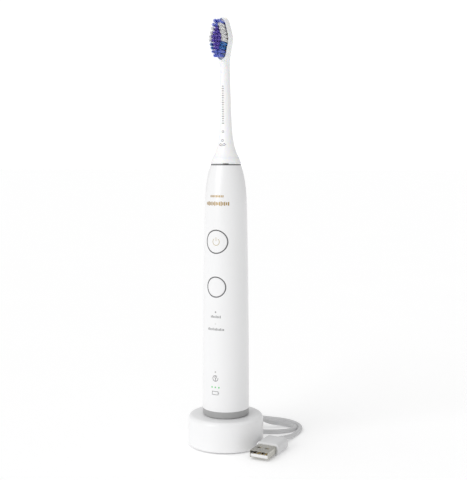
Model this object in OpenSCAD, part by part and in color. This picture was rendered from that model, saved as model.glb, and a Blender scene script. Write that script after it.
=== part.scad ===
// Sonic toothbrush standing on its round charger, with the cord and the USB plug.
// Millimetres. +Z is up, the table is z = 0, and the origin is under the middle of the charger.
// The front of the brush, with the buttons and the bristles, faces -Y. The cord leaves at +Y.

/* [Charger] */
// Diameter of the charger
charger_d = 48; // [42:0.5:60]
// Height of the charger's flat top above the table
charger_h = 19.2; // [17:0.1:25]
// Wall of the charger's shell
charger_wall = 1.8; // [1.4:0.1:2.4]
// Rounding of the charger's top edge
charger_edge = 2.2; // [1:0.1:3]
// How far the charger's side leans in towards its top
charger_draft = 0.4; // [0:0.1:1]
// Thickness of the plate that closes the charger below
plate_t = 1.8; // [1.2:0.1:2.4]
// Diameter of the post that the handle stands over
post_d = 9.6; // [8:0.1:12]
// Height of the post above the charger's top
post_h = 12.5; // [9:0.5:16]
// Wall of the post
post_wall = 1.2; // [1:0.1:1.5]
// Height of the rubber foot ring
foot_h = 1.4; // [1:0.1:2]
// Width of the rubber foot ring
foot_w = 3.6; // [2:0.1:5]
// Thickness of the charger's circuit board
charger_board_t = 1.6; // [0.8:0.2:2]
// Depth of the primary winding, from its hub to its outside
primary_w = 4.6; // [3:0.1:6]

/* [Handle] */
// Length of the handle, from the charger's top to the joint with the brush head
handle_len = 157.8; // [150:0.1:195]
// Diameter of the handle at its foot
handle_d = 29.4; // [29:0.1:36]
// Diameter of the handle where the shoulder begins
shoulder_d = 26.4; // [26:0.1:32]
// Diameter of the handle at the joint with the brush head
neck_d = 19; // [17:0.1:24]
// Length of the shoulder
shoulder_len = 26.2; // [20:0.1:34]
// Wall of the handle's shell
handle_wall = 1.8; // [1.4:0.1:2.2]
// Height of the grey bottom cap
cap_h = 4.5; // [3:0.1:7]
// Length of the cap's spigot inside the shell
spigot_h = 8; // [5:0.5:12]
// Height of the dark ring at the joint
joint_ring_h = 0.8; // [0.4:0.1:1.5]

/* [Buttons] */
// Diameter of the power button's ring
power_d = 14.9; // [12:0.1:16]
// Height of the power button above the handle's foot
power_up = 110.4; // [106:0.1:116]
// Diameter of the mode button's ring
mode_d = 13.1; // [11:0.1:14]
// Height of the mode button above the handle's foot
mode_up = 82.5; // [80:0.1:88]
// Width of the grey ring round a button
button_ring_w = 0.6; // [0.4:0.1:1]
// Travel of a button
button_travel = 0.4; // [0.2:0.05:0.5]

/* [Lamps] */
// Diameter of a light guide
guide_d = 1.1; // [0.8:0.1:1.4]
// Height of the lower row of three battery lamps above the handle's foot
battery_lamp_up = 20; // [17:0.1:24]
// Spacing of the three battery lamps
battery_lamp_gap = 2.35; // [2:0.05:3]
// Height of the brush head reminder lamp
reminder_lamp_up = 29.6; // [27:0.1:40]
// Height of the second mode lamp
low_mode_lamp_up = 59.7; // [50:0.1:62]
// Height of the first mode lamp
high_mode_lamp_up = 67; // [65:0.1:68.5]

/* [Cell and boards] */
// Diameter of the rechargeable cell
cell_d = 14; // [12:0.1:14.6]
// Length of the rechargeable cell
cell_len = 50; // [40:0.5:52]
// Width of the handle's circuit board
board_w = 15; // [12:0.5:17]
// Thickness of the handle's circuit board
board_t = 1.2; // [0.8:0.1:1.6]
// Side of a switch body
switch_w = 5.2; // [4:0.1:6]
// Height of a switch body
switch_h = 1.5; // [1.2:0.1:2]

/* [Drive] */
// Diameter of the drive shaft
shaft_d = 3.5; // [3:0.1:4]
// Length of shaft that stands out of the handle
shaft_out = 22; // [16:0.5:26]
// Outer diameter of the shaft's bushes
bush_d = 6.4; // [5.4:0.1:7.4]
// Diameter of the torsion bar
torsion_d = 1.8; // [1.4:0.1:2.2]
// Diameter of the rotor
rotor_d = 7.8; // [7:0.1:8]
// Height of the rotor magnets and the stator core
magnet_h = 16; // [12:0.5:18]
// Air gap between rotor and stator
air_gap = 0.55; // [0.4:0.05:0.7]

/* [Brush head] */
// Length of the brush head
head_len = 88.9; // [78:0.1:106]
// Width of the brush head across the bristles
head_w = 11.4; // [10:0.1:14]
// Length of the widened part that carries the bristles
field_len = 25.5; // [22:0.5:31]
// Thickness of the widened part, front to back
head_t = 5; // [4.5:0.1:6.5]
// Diameter of the neck just under the widened part
neck_top_d = 6.2; // [5.6:0.1:7.4]
// Diameter of the neck above its flare
neck_mid_d = 7.4; // [7.2:0.1:9]
// Lean of the neck towards the front, in degrees
neck_lean = 2; // [0:0.1:2.4]
// Height of the brush head's base ring
base_ring_h = 3.5; // [2:0.1:5]
// Length of the bristles
bristle_len = 9.6; // [7:0.1:12]
// Diameter of a tuft
tuft_d = 1.55; // [1.2:0.05:1.6]
// Height of the soft rim round the bristles
rim_h = 2.8; // [1:0.1:4]
// Width of the soft rim
rim_w = 1; // [0.6:0.1:1.4]

/* [Cord and plug] */
// Diameter of the cord
cord_d = 2.8; // [2.4:0.1:3.2]
// Length of the strain relief outside the charger
relief_len = 9; // [6:0.5:9]
// Width of the plug's metal shell
usb_w = 12; // [11.9:0.1:12.1]
// Height of the plug's metal shell
usb_h = 4.5; // [4.4:0.1:4.6]
// Length of the metal shell outside the overmould
usb_out = 12.5; // [11:0.5:19]
// Width of the overmould
mould_w = 14.8; // [14:0.1:17]
// Height of the overmould
mould_h = 7.2; // [7:0.1:9]
// Length of the overmould with its tail
mould_len = 23.5; // [20:0.5:30]

/* [Hidden] */

round_fn = 96;
hull_fn = 32;
eps = 0.01;
far = 80;              // wider than any cut has to be

// clearances
slide_gap = 0.15;      // round a button and a plunger
fit_gap = 0.1;         // a piece set into another
run_gap = 0.05;        // shaft in its bush, on the radius
joint_gap = 0.3;       // between the joint ring and the brush head

// charger
charger_r = charger_d / 2;
charger_top_r = charger_r - charger_draft;
charger_bottom_z = 0.8;
charger_roof = 1.6;
post_r = post_d / 2;
post_top_z = charger_h + post_h;
post_edge = 1;
post_foot = 0.3;
plate_r = charger_r - charger_wall - fit_gap;
plate_top_z = charger_bottom_z + plate_t;
foot_r = plate_r - 0.6;
core_gap = 0.5;
core_r = post_r - post_wall - core_gap;
bobbin_wall = 0.8;
bobbin_r = core_r + fit_gap + bobbin_wall + primary_w;
standoff_h = 2.2;
standoff_r = 2;
standoff_place_r = plate_r - 4.6;
board_z = plate_top_z + standoff_h;
charger_board_r = plate_r - 1.9;
charger_board_top = board_z + charger_board_t;
bobbin_z = charger_board_top;
bobbin_top = charger_h - charger_roof - fit_gap;

// strain relief in the charger's wall, along +Y
relief_z = 7.2;
relief_r = 2.9;
relief_tip_r = cord_d / 2 + 0.5;
relief_flange_r = relief_r + 0.7;
relief_flange_t = 1.4;
relief_tip_y = charger_r + relief_len;
wall_flat_y = sqrt(pow(charger_r - charger_wall, 2) - pow(relief_flange_r, 2)) - fit_gap;

// handle
foot_z = charger_h;
seam_z = foot_z + cap_h;
shell_top_z = foot_z + handle_len - joint_ring_h;
shoulder_z = shell_top_z - shoulder_len;
handle_r = handle_d / 2;
shoulder_r = shoulder_d / 2;
neck_r = neck_d / 2;
belly = 1.8;           // power of the side's curve
shell_roof = 3;
seal_r = 4.6;
recess_r = post_r + 0.5;
recess_h = post_h + 1;
recess_wall = 1.4;
recess_top_z = foot_z + recess_h + recess_wall;
cap_r = handle_r - 0.1;
cap_edge = 0.8;
cap_floor = 1.8;
spigot_r = side_r(seam_z + spigot_h) - handle_wall - fit_gap;
spigot_wall = 1.6;
seal_groove = 1;
seal_mid_z = seam_z + spigot_h / 2;
seal_section = (seal_groove + fit_gap) / 2 - 0.02;

// inner frame, back to front: cell, spine, board
frame_r = shoulder_r - handle_wall - 0.4;
frame_z = recess_top_z;
frame_floor = 2;
cell_gap = 0.5;
bulkhead_t = 3;
spine_t = 1.4;
bulkhead_z = frame_z + frame_floor + cell_len + 2 * cell_gap;
drive_z = bulkhead_z + bulkhead_t;
frame_roof = 5;
frame_top_z = shoulder_z + 0.2;
rail_in_x = 8.2;
rail_t = 1.6;
rail_half_y = 4;
cell_y = frame_r - 0.2 - cell_d / 2;
spine_back_y = cell_y - cell_d / 2 - 0.4;
spine_front_y = spine_back_y - spine_t;
board_back_y = spine_front_y - 0.8;
board_front_y = board_back_y - board_t;
board_low_z = frame_z + frame_floor + 0.4;
board_high_z = frame_top_z - frame_roof - 1;

// screws that hold the board to the bulkhead
screw_r = 0.8;
screw_head_r = 1.5;
screw_x = 5.2;
screw_z = bulkhead_z + bulkhead_t / 2;
screw_in = 4;

// drive
shaft_r = shaft_d / 2;
torsion_r = torsion_d / 2;
torsion_seat = 2.4;
rotor_r = rotor_d / 2;
magnet_t = 1.3;
magnet_in_x = 2.1;
magnet_w = 2 * sqrt(pow(rotor_r - fit_gap, 2) - pow(magnet_in_x + magnet_t, 2));
rotor_z = drive_z + 6;
rotor_end = 3;
rotor_len = magnet_h + 2 * rotor_end;
magnet_z = rotor_z + rotor_end;
shaft_low_z = rotor_z + rotor_len / 2;
torsion_in = 4.2;
bore_r = rotor_r + air_gap;
limb_y = bore_r + 1.9;
limb_t = 2.6;
winding_t = 1.4;
winding_half_x = 4.2;
bush_r = bush_d / 2;
bridge_z = rotor_z + rotor_len + 1.5;
bridge_t = 4;
shaft_top_z = foot_z + handle_len + shaft_out;
flat_y = shaft_r - 0.65;
flat_len = shaft_out - 3;

// buttons and switches
power_z = foot_z + power_up;
mode_z = foot_z + mode_up;
flange_half_x = 3.4;
flange_reach = 1.5;
stem_r = 1.6;
plunger_r = 1.3;
plunger_out = 0.45;
plunger_in = 0.9;
switch_top_y = board_front_y - switch_h;
plunger_tip_y = switch_top_y - plunger_out;
flange_back_y = plunger_tip_y - 0.8;

// lamps
lamp_w = 1.2;
lamp_t = 0.5;
mode_lamps = [for (up = [low_mode_lamp_up, high_mode_lamp_up]) [0, foot_z + up]];
battery_lamps = [for (i = [-1:1]) [i * battery_lamp_gap, foot_z + battery_lamp_up]];
lamp_places = concat(mode_lamps, [[0, foot_z + reminder_lamp_up]], battery_lamps);

// brush head
head_z = foot_z + handle_len + joint_gap;
head_top_z = head_z + head_len;
base_ring_top_z = head_z + base_ring_h;
base_ring_r = neck_r - 0.2;
base_ring_lean = 1.1;
base_bore_r = 6.4;
flare_len = 14;
flare_top_z = base_ring_top_z + flare_len;
neck_mid_r = neck_mid_d / 2;
flare_top_r = neck_mid_r + 0.15;
neck_top_r = neck_top_d / 2;
field_z = head_top_z - field_len;
field_mid_z = field_z + field_len * 0.46;
tip_r = 3.1;
cheek_r = 2.5;
head_y = -(field_mid_z - flare_top_z) * tan(neck_lean);
face_y = head_y - head_t / 2 + 0.4;
back_y = face_y + head_t;
plate_in = 1.6;
back_edge_in = 1.2;
back_edge_t = 1.4;
tag_h = 0.7;
socket_flange_t = 1.8;
socket_flange_z = base_ring_top_z - socket_flange_t;
socket_r = shaft_r + run_gap + 1.05;
socket_top_z = shaft_top_z + 5;
clip_len = 8;
clip_w = 2.4;
clip_t = 0.5;
clip_z = socket_flange_z + 6;

// bristle rows, from the top down: place of the outermost tufts as a share of the widest row's,
// and the colour of each tuft from left to right
tuft_rows = [
    [0.27, ["blue", "blue"]],
    [0.51, ["blue", "blue", "white"]],
    [0.67, ["white", "purple", "white"]],
    [0.81, ["white", "purple", "purple", "white"]],
    [0.97, ["white", "purple", "purple", "purple", "white"]],
    [1, ["white", "purple", "purple", "purple", "white"]],
    [0.83, ["teal", "purple", "purple", "teal"]],
    [0.69, ["teal", "purple", "purple", "teal"]],
    [0.53, ["blue", "blue", "blue"]],
    [0.27, ["blue", "blue"]],
];
row_gap = (field_len - 4) / len(tuft_rows);
row_reach = head_w / 2 - 2.2;
tuft_top_z = head_top_z - 4.1;
tuft_r = tuft_d / 2;

// cord: hand-laid points on the table, and the coil behind the charger
cord_r = cord_d / 2;
cord_sides = 8;
cord_shift = charger_r - 24;   // a wider charger moves the cord and the plug outwards
coil_x = -23;
coil_y = 40 + cord_shift;
coil_mid_r = 14.7;
coil_wide = 4;
coil_high = 2;
coil_z = 0.6;
coil_half_w = coil_wide * cord_r;
coil_h = coil_high * cord_d;
tie_w = 6;
tie_turn = 110;
near_route = [
    [0.4, 36.8, 7.1], [2.5, 39.9, 6.6], [6, 41.4, 5.6], [9.8, 41.7, 4.5], [13.2, 43, 3.4],
    [16.8, 45.6, 2.5], [20.6, 47.9, 1.8], [24.8, 48.9, 1.4], [28.4, 46.9, 1.4], [29.9, 43, 1.4],
    [28.6, 38.9, 1.4], [24.8, 34.2, 1.4], [18.6, 30, 1.4], [11, 27.4, 1.4], [3, 26.4, 1.4],
    [-5, 26.4, 1.4], [-14.5, 23, 2],
];
far_route = [
    [-18, 58.2, 4.8], [-9, 56.2, 3.6], [-1, 56.2, 1.9], [7, 57.6, 1.4], [15, 58, 1.4],
    [22, 56.4, 1.4], [28, 52.6, 1.4], [32.2, 47, 1.4], [34, 40.5, 1.4], [34.4, 33.5, 1.4],
    [34.3, 27, 1.7], [33.8, 20.5, 2.7],
];

// plug, lying beside the charger and pointing to -Y
plug_x = 33 + cord_shift;
plug_tip_y = -22;
plug_z = mould_h / 2;
usb_sheet = 0.3;
usb_corner = 0.5;
usb_in = 6;
mould_y = plug_tip_y + usb_out;
mould_end_y = mould_y + mould_len;
mould_tail = 6;
mould_edge = 2.4;
tongue_h = 1.9;
tongue_back = 0.4;
contact_w = 1;
contact_t = 0.2;
contact_gap = 2.4;

// the whole way of the two free ends of the cord, moved out where the charger is wider
function shifted(p) =
    p + cord_shift * [min(1, max(0, p[0] / 33)), min(1, max(0, (p[1] - 14) / 12)), 0];
near_points = concat([[0, relief_tip_y, relief_z]], [for (p = near_route) shifted(p)]);
far_points = concat([for (p = far_route) shifted(p)], [[plug_x, mould_end_y, plug_z]]);

// ---------- shapes used more than once ----------

// radius of the handle's straight side at height z
function side_r(z) =
    let (u = max(0, min(1, (z - seam_z) / (shoulder_z - seam_z))))
    handle_r - (handle_r - shoulder_r) * pow(u, belly);

// point at t on a cubic curve
function curve(a, b, c, d, t) =
    a * pow(1 - t, 3) + 3 * b * t * pow(1 - t, 2) + 3 * c * t * t * (1 - t) + d * pow(t, 3);

// quarter round from angle a to angle b about a centre
function arc(cx, cz, r, a, b, n = 5) =
    [for (i = [0:n]) let (t = a + (b - a) * i / n) [cx + r * cos(t), cz + r * sin(t)]];

// side and shoulder of the handle, drawn in by inset
function handle_side(inset) = concat(
    [for (i = [0:5]) let (z = seam_z + (shoulder_z - seam_z) * i / 6) [side_r(z) - inset, z]],
    [for (i = [0:8]) curve(
        [shoulder_r - inset, shoulder_z],
        [shoulder_r - 0.15 - inset, shoulder_z + shoulder_len * 0.46],
        [shoulder_r - 2 - inset, shoulder_z + shoulder_len * 0.8],
        [neck_r - inset, shell_top_z], i / 8)]);

// whole handle as one solid, drawn in by inset
module handle_solid(inset = 0) {
    rotate_extrude($fn = round_fn)
        polygon(concat([[0, seam_z]], handle_side(inset), [[0, shell_top_z]]));
}

module ring(outer, inner, height) {
    difference() {
        cylinder(r = outer, h = height, $fn = round_fn);
        translate([0, 0, -eps])
            cylinder(r = inner, h = height + 2 * eps, $fn = round_fn);
    }
}

// rod along Y from y0 to y1 at height z
module rod_y(r, y0, y1, x = 0, z = 0) {
    translate([x, y0, z])
        rotate([-90, 0, 0])
            cylinder(r = r, h = y1 - y0, $fn = round_fn);
}

module box(x0, x1, y0, y1, z0, z1) {
    translate([x0, y0, z0])
        cube([x1 - x0, y1 - y0, z1 - z0]);
}

module round_rect(w, h, r) {
    square([w - 2 * r, h], center = true);
    square([w, h - 2 * r], center = true);
    for (sx = [-1, 1], sy = [-1, 1])
        translate([sx * (w / 2 - r), sy * (h / 2 - r)])
            circle(r = r, $fn = hull_fn);
}

// tube swept through points, with rings square to the path
function unit(v) = v / norm(v);
function smooth_at(p, i, t) =
    let (n = len(p), a = p[max(0, i - 1)], b = p[i], c = p[min(n - 1, i + 1)], d = p[min(n - 1, i + 2)])
    0.5 * (2 * b + (c - a) * t + (2 * a - 5 * b + 4 * c - d) * t * t
        + (3 * b - a - 3 * c + d) * pow(t, 3));
function smooth_path(p) =
    concat([for (i = [0:len(p) - 2], k = [0:1]) smooth_at(p, i, k / 2)], [p[len(p) - 1]]);

module swept_tube(points, r, start_dir, end_dir) {
    path = smooth_path(points);
    n = len(path);
    dirs = [for (i = [0:n - 1]) i == 0 ? start_dir : i == n - 1 ? end_dir
        : unit(path[i + 1] - path[i - 1])];
    rings = [for (i = [0:n - 1], k = [0:cord_sides - 1])
        let (
            side = unit(cross(dirs[i], [0, 0, 1])),
            up = cross(side, dirs[i]),
            a = 360 * (k + 0.5) / cord_sides)
        path[i] + r * (cos(a) * side + sin(a) * up)];
    walls = [for (i = [0:n - 2], k = [0:cord_sides - 1])
        let (a = i * cord_sides + k, b = i * cord_sides + (k + 1) % cord_sides)
        [a, b, b + cord_sides, a + cord_sides]];
    start_face = [[for (k = [cord_sides - 1:-1:0]) k]];
    end_face = [[for (k = [0:cord_sides - 1]) (n - 1) * cord_sides + k]];
    polyhedron(points = rings, faces = concat(walls, start_face, end_face), convexity = 6);
}

// outline of the widened part, drawn in by inset, standing in the XZ plane from y0 to y1
module head_outline(inset, y0, y1) {
    hull() {
        outline_rod(tip_r - inset, y0, y1, 0, head_top_z - tip_r);
        for (s = [-1, 1])
            outline_rod(cheek_r - inset * 0.7, y0, y1,
                s * (head_w / 2 - cheek_r - inset * 0.3), field_mid_z);
        outline_rod(neck_top_r + 0.3 - inset, y0, y1, 0, field_z + 2);
    }
}

module outline_rod(r, y0, y1, x, z) {
    translate([x, y0, z])
        rotate([-90, 0, 0])
            cylinder(r = r, h = y1 - y0, $fn = hull_fn);
}

// ---------- charger ----------

// White cup with the post in one piece with it.
module charger_shell() {
    inner_r = charger_r - charger_wall;
    color("white")
        difference() {
            rotate_extrude($fn = round_fn)
                polygon(concat(
                    [[inner_r, charger_bottom_z], [charger_r - 0.5, charger_bottom_z],
                        [charger_r, charger_bottom_z + 0.5]],
                    arc(charger_top_r - charger_edge, charger_h - charger_edge, charger_edge, 0, 90),
                    [[post_r + post_foot, charger_h], [post_r, charger_h + post_foot]],
                    arc(post_r - post_edge, post_top_z - post_edge, post_edge, 0, 90),
                    [[0, post_top_z], [0, post_top_z - post_wall],
                        [post_r - post_wall, post_top_z - post_wall],
                        [post_r - post_wall, charger_h - charger_roof],
                        [inner_r - charger_draft, charger_h - charger_roof]]));
            rod_y(relief_r, charger_r - charger_wall - 3, charger_r + 3, 0, relief_z);
        }
}

// Plate that closes the charger, with three standoffs for the board and a groove for the foot.
module charger_base() {
    color("gainsboro")
        difference() {
            union() {
                translate([0, 0, charger_bottom_z])
                    cylinder(r = plate_r, h = plate_t, $fn = round_fn);
                for (a = [60, 180, 300])
                    rotate(a)
                        translate([standoff_place_r, 0, plate_top_z - eps])
                            cylinder(r = standoff_r, h = standoff_h + eps, $fn = round_fn);
            }
            ring(foot_r, foot_r - foot_w, foot_h);
        }
}

// Rubber ring that the charger stands on.
module foot_ring() {
    color("dimgray")
        ring(foot_r, foot_r - foot_w, foot_h);
}

// Ferrite rod that carries the field up through the post.
module ferrite_core() {
    color("#3a3a3c")
        translate([0, 0, charger_board_top])
            cylinder(r = core_r, h = post_top_z - post_wall - 0.4 - charger_board_top, $fn = round_fn);
}

// Plastic spool for the primary winding.
module coil_bobbin() {
    hub_in = core_r + fit_gap;
    hub_out = hub_in + bobbin_wall;
    color("beige")
        rotate_extrude($fn = round_fn)
            polygon([
                [hub_in, bobbin_z], [bobbin_r, bobbin_z], [bobbin_r, bobbin_z + bobbin_wall],
                [hub_out, bobbin_z + bobbin_wall], [hub_out, bobbin_top - bobbin_wall],
                [bobbin_r, bobbin_top - bobbin_wall], [bobbin_r, bobbin_top], [hub_in, bobbin_top]]);
}

// Copper winding on the spool.
module primary_coil() {
    hub_out = core_r + fit_gap + bobbin_wall;
    color("peru")
        translate([0, 0, bobbin_z + bobbin_wall])
            ring(bobbin_r - 0.4, hub_out, bobbin_top - bobbin_z - 2 * bobbin_wall);
}

// Round board on the three standoffs.
module charger_board() {
    color("darkgreen")
        translate([0, 0, board_z])
            cylinder(r = charger_board_r, h = charger_board_t, $fn = round_fn);
}

// Capacitor, coil driver and small parts round the bobbin.
module charger_board_parts() {
    z = charger_board_top;
    place = (bobbin_r + charger_board_r) / 2;
    color("#2b2b2b") {
        for (a = [20, 200])
            rotate(a)
                translate([place, 0, z])
                    cylinder(r = 2, h = 5, $fn = round_fn);
        for (a = [110, 250, 290])
            rotate(a)
                box(place - 1.6, place + 1.6, -2.4, 2.4, z, z + 1.2);
    }
}

// Rubber boot in the wall; it thins towards its end.
module strain_relief() {
    color("whitesmoke")
        rotate([-90, 0, 0])
            translate([0, -relief_z, 0])
                rotate_extrude($fn = round_fn)
                    polygon([
                        [0, wall_flat_y - relief_flange_t],
                        [relief_flange_r, wall_flat_y - relief_flange_t],
                        [relief_flange_r, wall_flat_y],
                        [relief_r, wall_flat_y], [relief_r, charger_r + 1.2],
                        [relief_tip_r, relief_tip_y], [0, relief_tip_y]]);
}

// ---------- cord and plug ----------

// Free stretch from the strain relief round the first loop to the coil.
module cord_near() {
    color("whitesmoke")
        swept_tube(near_points, cord_r, [0, 1, 0], unit([-1, -0.5, 0]));
}

// Free stretch from the coil round the second loop to the plug.
module cord_far() {
    color("whitesmoke")
        swept_tube(far_points, cord_r, unit([1, -0.25, 0]), [0, -1, 0]);
}

// Outer shape of the neat coil behind the charger.
module cord_coil() {
    color("whitesmoke")
        translate([coil_x, coil_y, coil_z])
            rotate_extrude($fn = round_fn)
                translate([coil_mid_r, coil_h / 2])
                    round_rect(2 * coil_half_w, coil_h, cord_r);
}

// Strap round the coil.
module cord_tie() {
    color("lightgray")
        translate([coil_x, coil_y, 0])
            intersection() {
                rotate_extrude($fn = round_fn)
                    difference() {
                        translate([coil_mid_r - coil_half_w - coil_z, 0])
                            square([2 * (coil_half_w + coil_z), coil_h + 2 * coil_z]);
                        translate([coil_mid_r, coil_z + coil_h / 2])
                            round_rect(2 * coil_half_w, coil_h, cord_r);
                    }
                rotate(tie_turn)
                    box(0, far, -tie_w / 2, tie_w / 2, -1, coil_h + 2);
            }
}

// Plastic body of the plug, flat in front and drawn in to the cord at its tail.
module usb_overmould() {
    body_end = mould_end_y - mould_tail;
    half = mould_w / 2;
    color("whitesmoke")
        difference() {
            union() {
                hull() {
                    for (s = [-1, 1]) {
                        translate([plug_x + s * (half - mould_edge), mould_y, mould_edge])
                            mould_rod(body_end - mould_y - 3);
                        translate([plug_x + s * (half - mould_edge), mould_y, mould_h - mould_edge])
                            mould_rod(body_end - mould_y - 3);
                        translate([plug_x + s * (half - mould_edge - 2), mould_y, plug_z])
                            mould_rod(body_end - mould_y);
                    }
                }
                translate([plug_x, body_end - 1, plug_z])
                    rotate([-90, 0, 0])
                        cylinder(r1 = 2.9, r2 = cord_r + 0.4, h = mould_tail + 1, $fn = hull_fn);
            }
            translate([plug_x, mould_y - eps, plug_z])
                rotate([-90, 0, 0])
                    linear_extrude(usb_in + eps)
                        round_rect(usb_w, usb_h, usb_corner);
        }
}

module mould_rod(length) {
    rotate([-90, 0, 0])
        cylinder(r = mould_edge, h = length, $fn = hull_fn);
}

// Folded metal sheet of the plug with its two latch windows above and two below.
module usb_shell() {
    color("silver")
        difference() {
            translate([plug_x, plug_tip_y, plug_z])
                rotate([-90, 0, 0])
                    linear_extrude(usb_out + usb_in)
                        difference() {
                            round_rect(usb_w, usb_h, usb_corner);
                            square([usb_w - 2 * usb_sheet, usb_h - 2 * usb_sheet], center = true);
                        }
            for (s = [-1, 1])
                box(plug_x + s * 2.6 - 1.2, plug_x + s * 2.6 + 1.2,
                    plug_tip_y + 5.6, plug_tip_y + 7.6, 0, mould_h);
        }
}

// Plastic tongue along the floor of the metal shell.
module usb_tongue() {
    low = plug_z - usb_h / 2 + usb_sheet;
    half = usb_w / 2 - usb_sheet;
    color("white")
        union() {
            box(plug_x - half, plug_x + half, plug_tip_y + tongue_back, mould_y + usb_in,
                low, low + tongue_h);
            box(plug_x - half, plug_x + half, mould_y + 1, mould_y + usb_in,
                low, low + usb_h - 2 * usb_sheet);
        }
}

// Four gilt contacts on the tongue.
module usb_contacts() {
    low = plug_z - usb_h / 2 + usb_sheet + tongue_h;
    color("gold")
        for (i = [-1.5:1.5])
            box(plug_x + i * contact_gap - contact_w / 2, plug_x + i * contact_gap + contact_w / 2,
                plug_tip_y + 1.2, mould_y - 0.5, low, low + contact_t);
}

// ---------- handle ----------

// White tube with its shoulder, open below, with holes for the buttons and the light guides.
module handle_shell() {
    color("white")
        difference() {
            handle_solid();
            intersection() {
                handle_solid(handle_wall);
                cylinder(r = far, h = shell_top_z - shell_roof);
            }
            cylinder(r = seal_r, h = shell_top_z + 1, $fn = round_fn);
            rod_y(power_d / 2, -far, -4, 0, power_z);
            rod_y(mode_d / 2, -far, -4, 0, mode_z);
            for (p = lamp_places)
                rod_y(guide_d / 2, -far, -4, p[0], p[1]);
        }
}

// Dark ring on the handle's top, at the joint with the brush head.
module joint_ring() {
    color("#5c5d60")
        translate([0, 0, shell_top_z])
            ring(neck_r - 0.2, neck_r - 2, joint_ring_h);
}

// Rubber seal round the shaft.
module shaft_seal() {
    in = shaft_r + 0.15;
    low = shell_top_z - shell_roof;
    color("#4a4a4c")
        rotate_extrude($fn = round_fn)
            polygon([
                [in, low - 1.2], [seal_r + 0.9, low - 1.2], [seal_r + 0.9, low], [seal_r, low],
                [seal_r, shell_top_z], [in + 0.8, shell_top_z + joint_ring_h], [in, shell_top_z + joint_ring_h]]);
}

module bush(z, length) {
    color("goldenrod")
        translate([0, 0, z])
            ring(bush_r, shaft_r + run_gap, length);
}

// Upper bush, in the frame's roof.
module upper_bush() {
    bush(frame_top_z - frame_roof, frame_roof);
}

// Lower bush, in the frame's bridge above the rotor.
module lower_bush() {
    bush(bridge_z, bridge_t);
}

// Plastic frame: floor and spine for the cell and board, bulkhead, rails, bridge and roof.
module inner_frame() {
    color("darkgray")
        difference() {
            union() {
                translate([0, 0, frame_z])
                    cylinder(r = frame_r, h = frame_floor, $fn = round_fn);
                translate([0, 0, bulkhead_z])
                    cylinder(r = frame_r, h = bulkhead_t, $fn = round_fn);
                translate([0, 0, frame_top_z - frame_roof])
                    cylinder(r = frame_r, h = frame_roof, $fn = round_fn);
                box(-board_w / 2, board_w / 2, spine_front_y, spine_back_y,
                    frame_z + 1, bulkhead_z + 1);
                for (s = [-1, 1])
                    box(min(s * rail_in_x, s * (rail_in_x + rail_t)),
                        max(s * rail_in_x, s * (rail_in_x + rail_t)),
                        -rail_half_y, rail_half_y, bulkhead_z + 1, frame_top_z - 1);
                box(-rail_in_x - 1, rail_in_x + 1, -bush_r - 0.4, bush_r + 0.4,
                    bridge_z, bridge_z + bridge_t);
            }
            translate([0, 0, bridge_z - eps])
                cylinder(r = bush_r, h = frame_top_z - bridge_z + 1, $fn = round_fn);
            translate([0, 0, drive_z - torsion_seat])
                cylinder(r = torsion_r, h = torsion_seat + 1, $fn = round_fn);
            // room for the board in front of the bulkhead and the floor
            box(-far, far, -far, board_back_y, board_low_z - 1, board_high_z);
            for (s = [-1, 1])
                rod_y(screw_r, -far, board_back_y + screw_in, s * screw_x, screw_z);
        }
}

// Two screws that hold the board to the bulkhead.
module frame_screws() {
    color("silver")
        for (s = [-1, 1]) {
            rod_y(screw_head_r, board_front_y - 0.9, board_front_y, s * screw_x, screw_z);
            rod_y(screw_r, board_front_y, board_back_y + screw_in, s * screw_x, screw_z);
        }
}

// Laminated core: two poles round the rotor, joined behind by the limb.
module stator_core() {
    color("slategray")
        difference() {
            box(-rail_in_x, rail_in_x, -rail_half_y, limb_y + limb_t, magnet_z, magnet_z + magnet_h);
            translate([0, 0, magnet_z - 1])
                cylinder(r = bore_r, h = magnet_h + 2, $fn = round_fn);
            box(-2.4, 2.4, -far, 0, magnet_z - 1, magnet_z + magnet_h + 1);
            box(-winding_half_x - 0.3, winding_half_x + 0.3, 0, limb_y, magnet_z - 1,
                magnet_z + magnet_h + 1);
        }
}

// Copper winding round the limb.
module drive_coil() {
    color("peru")
        difference() {
            box(-winding_half_x, winding_half_x, limb_y - winding_t, limb_y + limb_t + winding_t,
                magnet_z - winding_t, magnet_z + magnet_h + winding_t);
            box(-far, far, limb_y, limb_y + limb_t, magnet_z, magnet_z + magnet_h);
        }
}

// Steel bar that brings the rotor back to its middle.
module torsion_bar() {
    color("silver")
        translate([0, 0, drive_z - torsion_seat])
            cylinder(r = torsion_r, h = rotor_z + torsion_in - 0.2 - drive_z + torsion_seat,
                $fn = round_fn);
}

// Rechargeable cell behind the spine.
module cell() {
    color("steelblue")
        translate([0, cell_y, frame_z + frame_floor + cell_gap])
            cylinder(r = cell_d / 2, h = cell_len, $fn = round_fn);
}

// Nickel tabs on the cell's two ends.
module cell_tabs() {
    low = frame_z + frame_floor;
    color("silver")
        for (z = [low + cell_gap - 0.3, low + cell_gap + cell_len])
            box(-2.5, 2.5, cell_y - 4, cell_y + 3, z, z + 0.3);
}

// Long circuit board in front of the spine.
module handle_board() {
    color("darkgreen")
        difference() {
            box(-board_w / 2, board_w / 2, board_front_y, board_back_y, board_low_z, board_high_z);
            for (s = [-1, 1])
                rod_y(screw_r, board_front_y - 1, board_back_y + 1, s * screw_x, screw_z);
        }
}

// Controller and power parts on the board's front.
module board_chips() {
    front = board_front_y;
    color("#2b2b2b") {
        for (z = [foot_z + 37, foot_z + 45, foot_z + 53])
            box(-3, 3, front - 1, front, z - 2.2, z + 2.2);
        for (z = [foot_z + 95, foot_z + 99])
            box(-4.5, -1, front - 1, front, z - 1.2, z + 1.2);
    }
}

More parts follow.
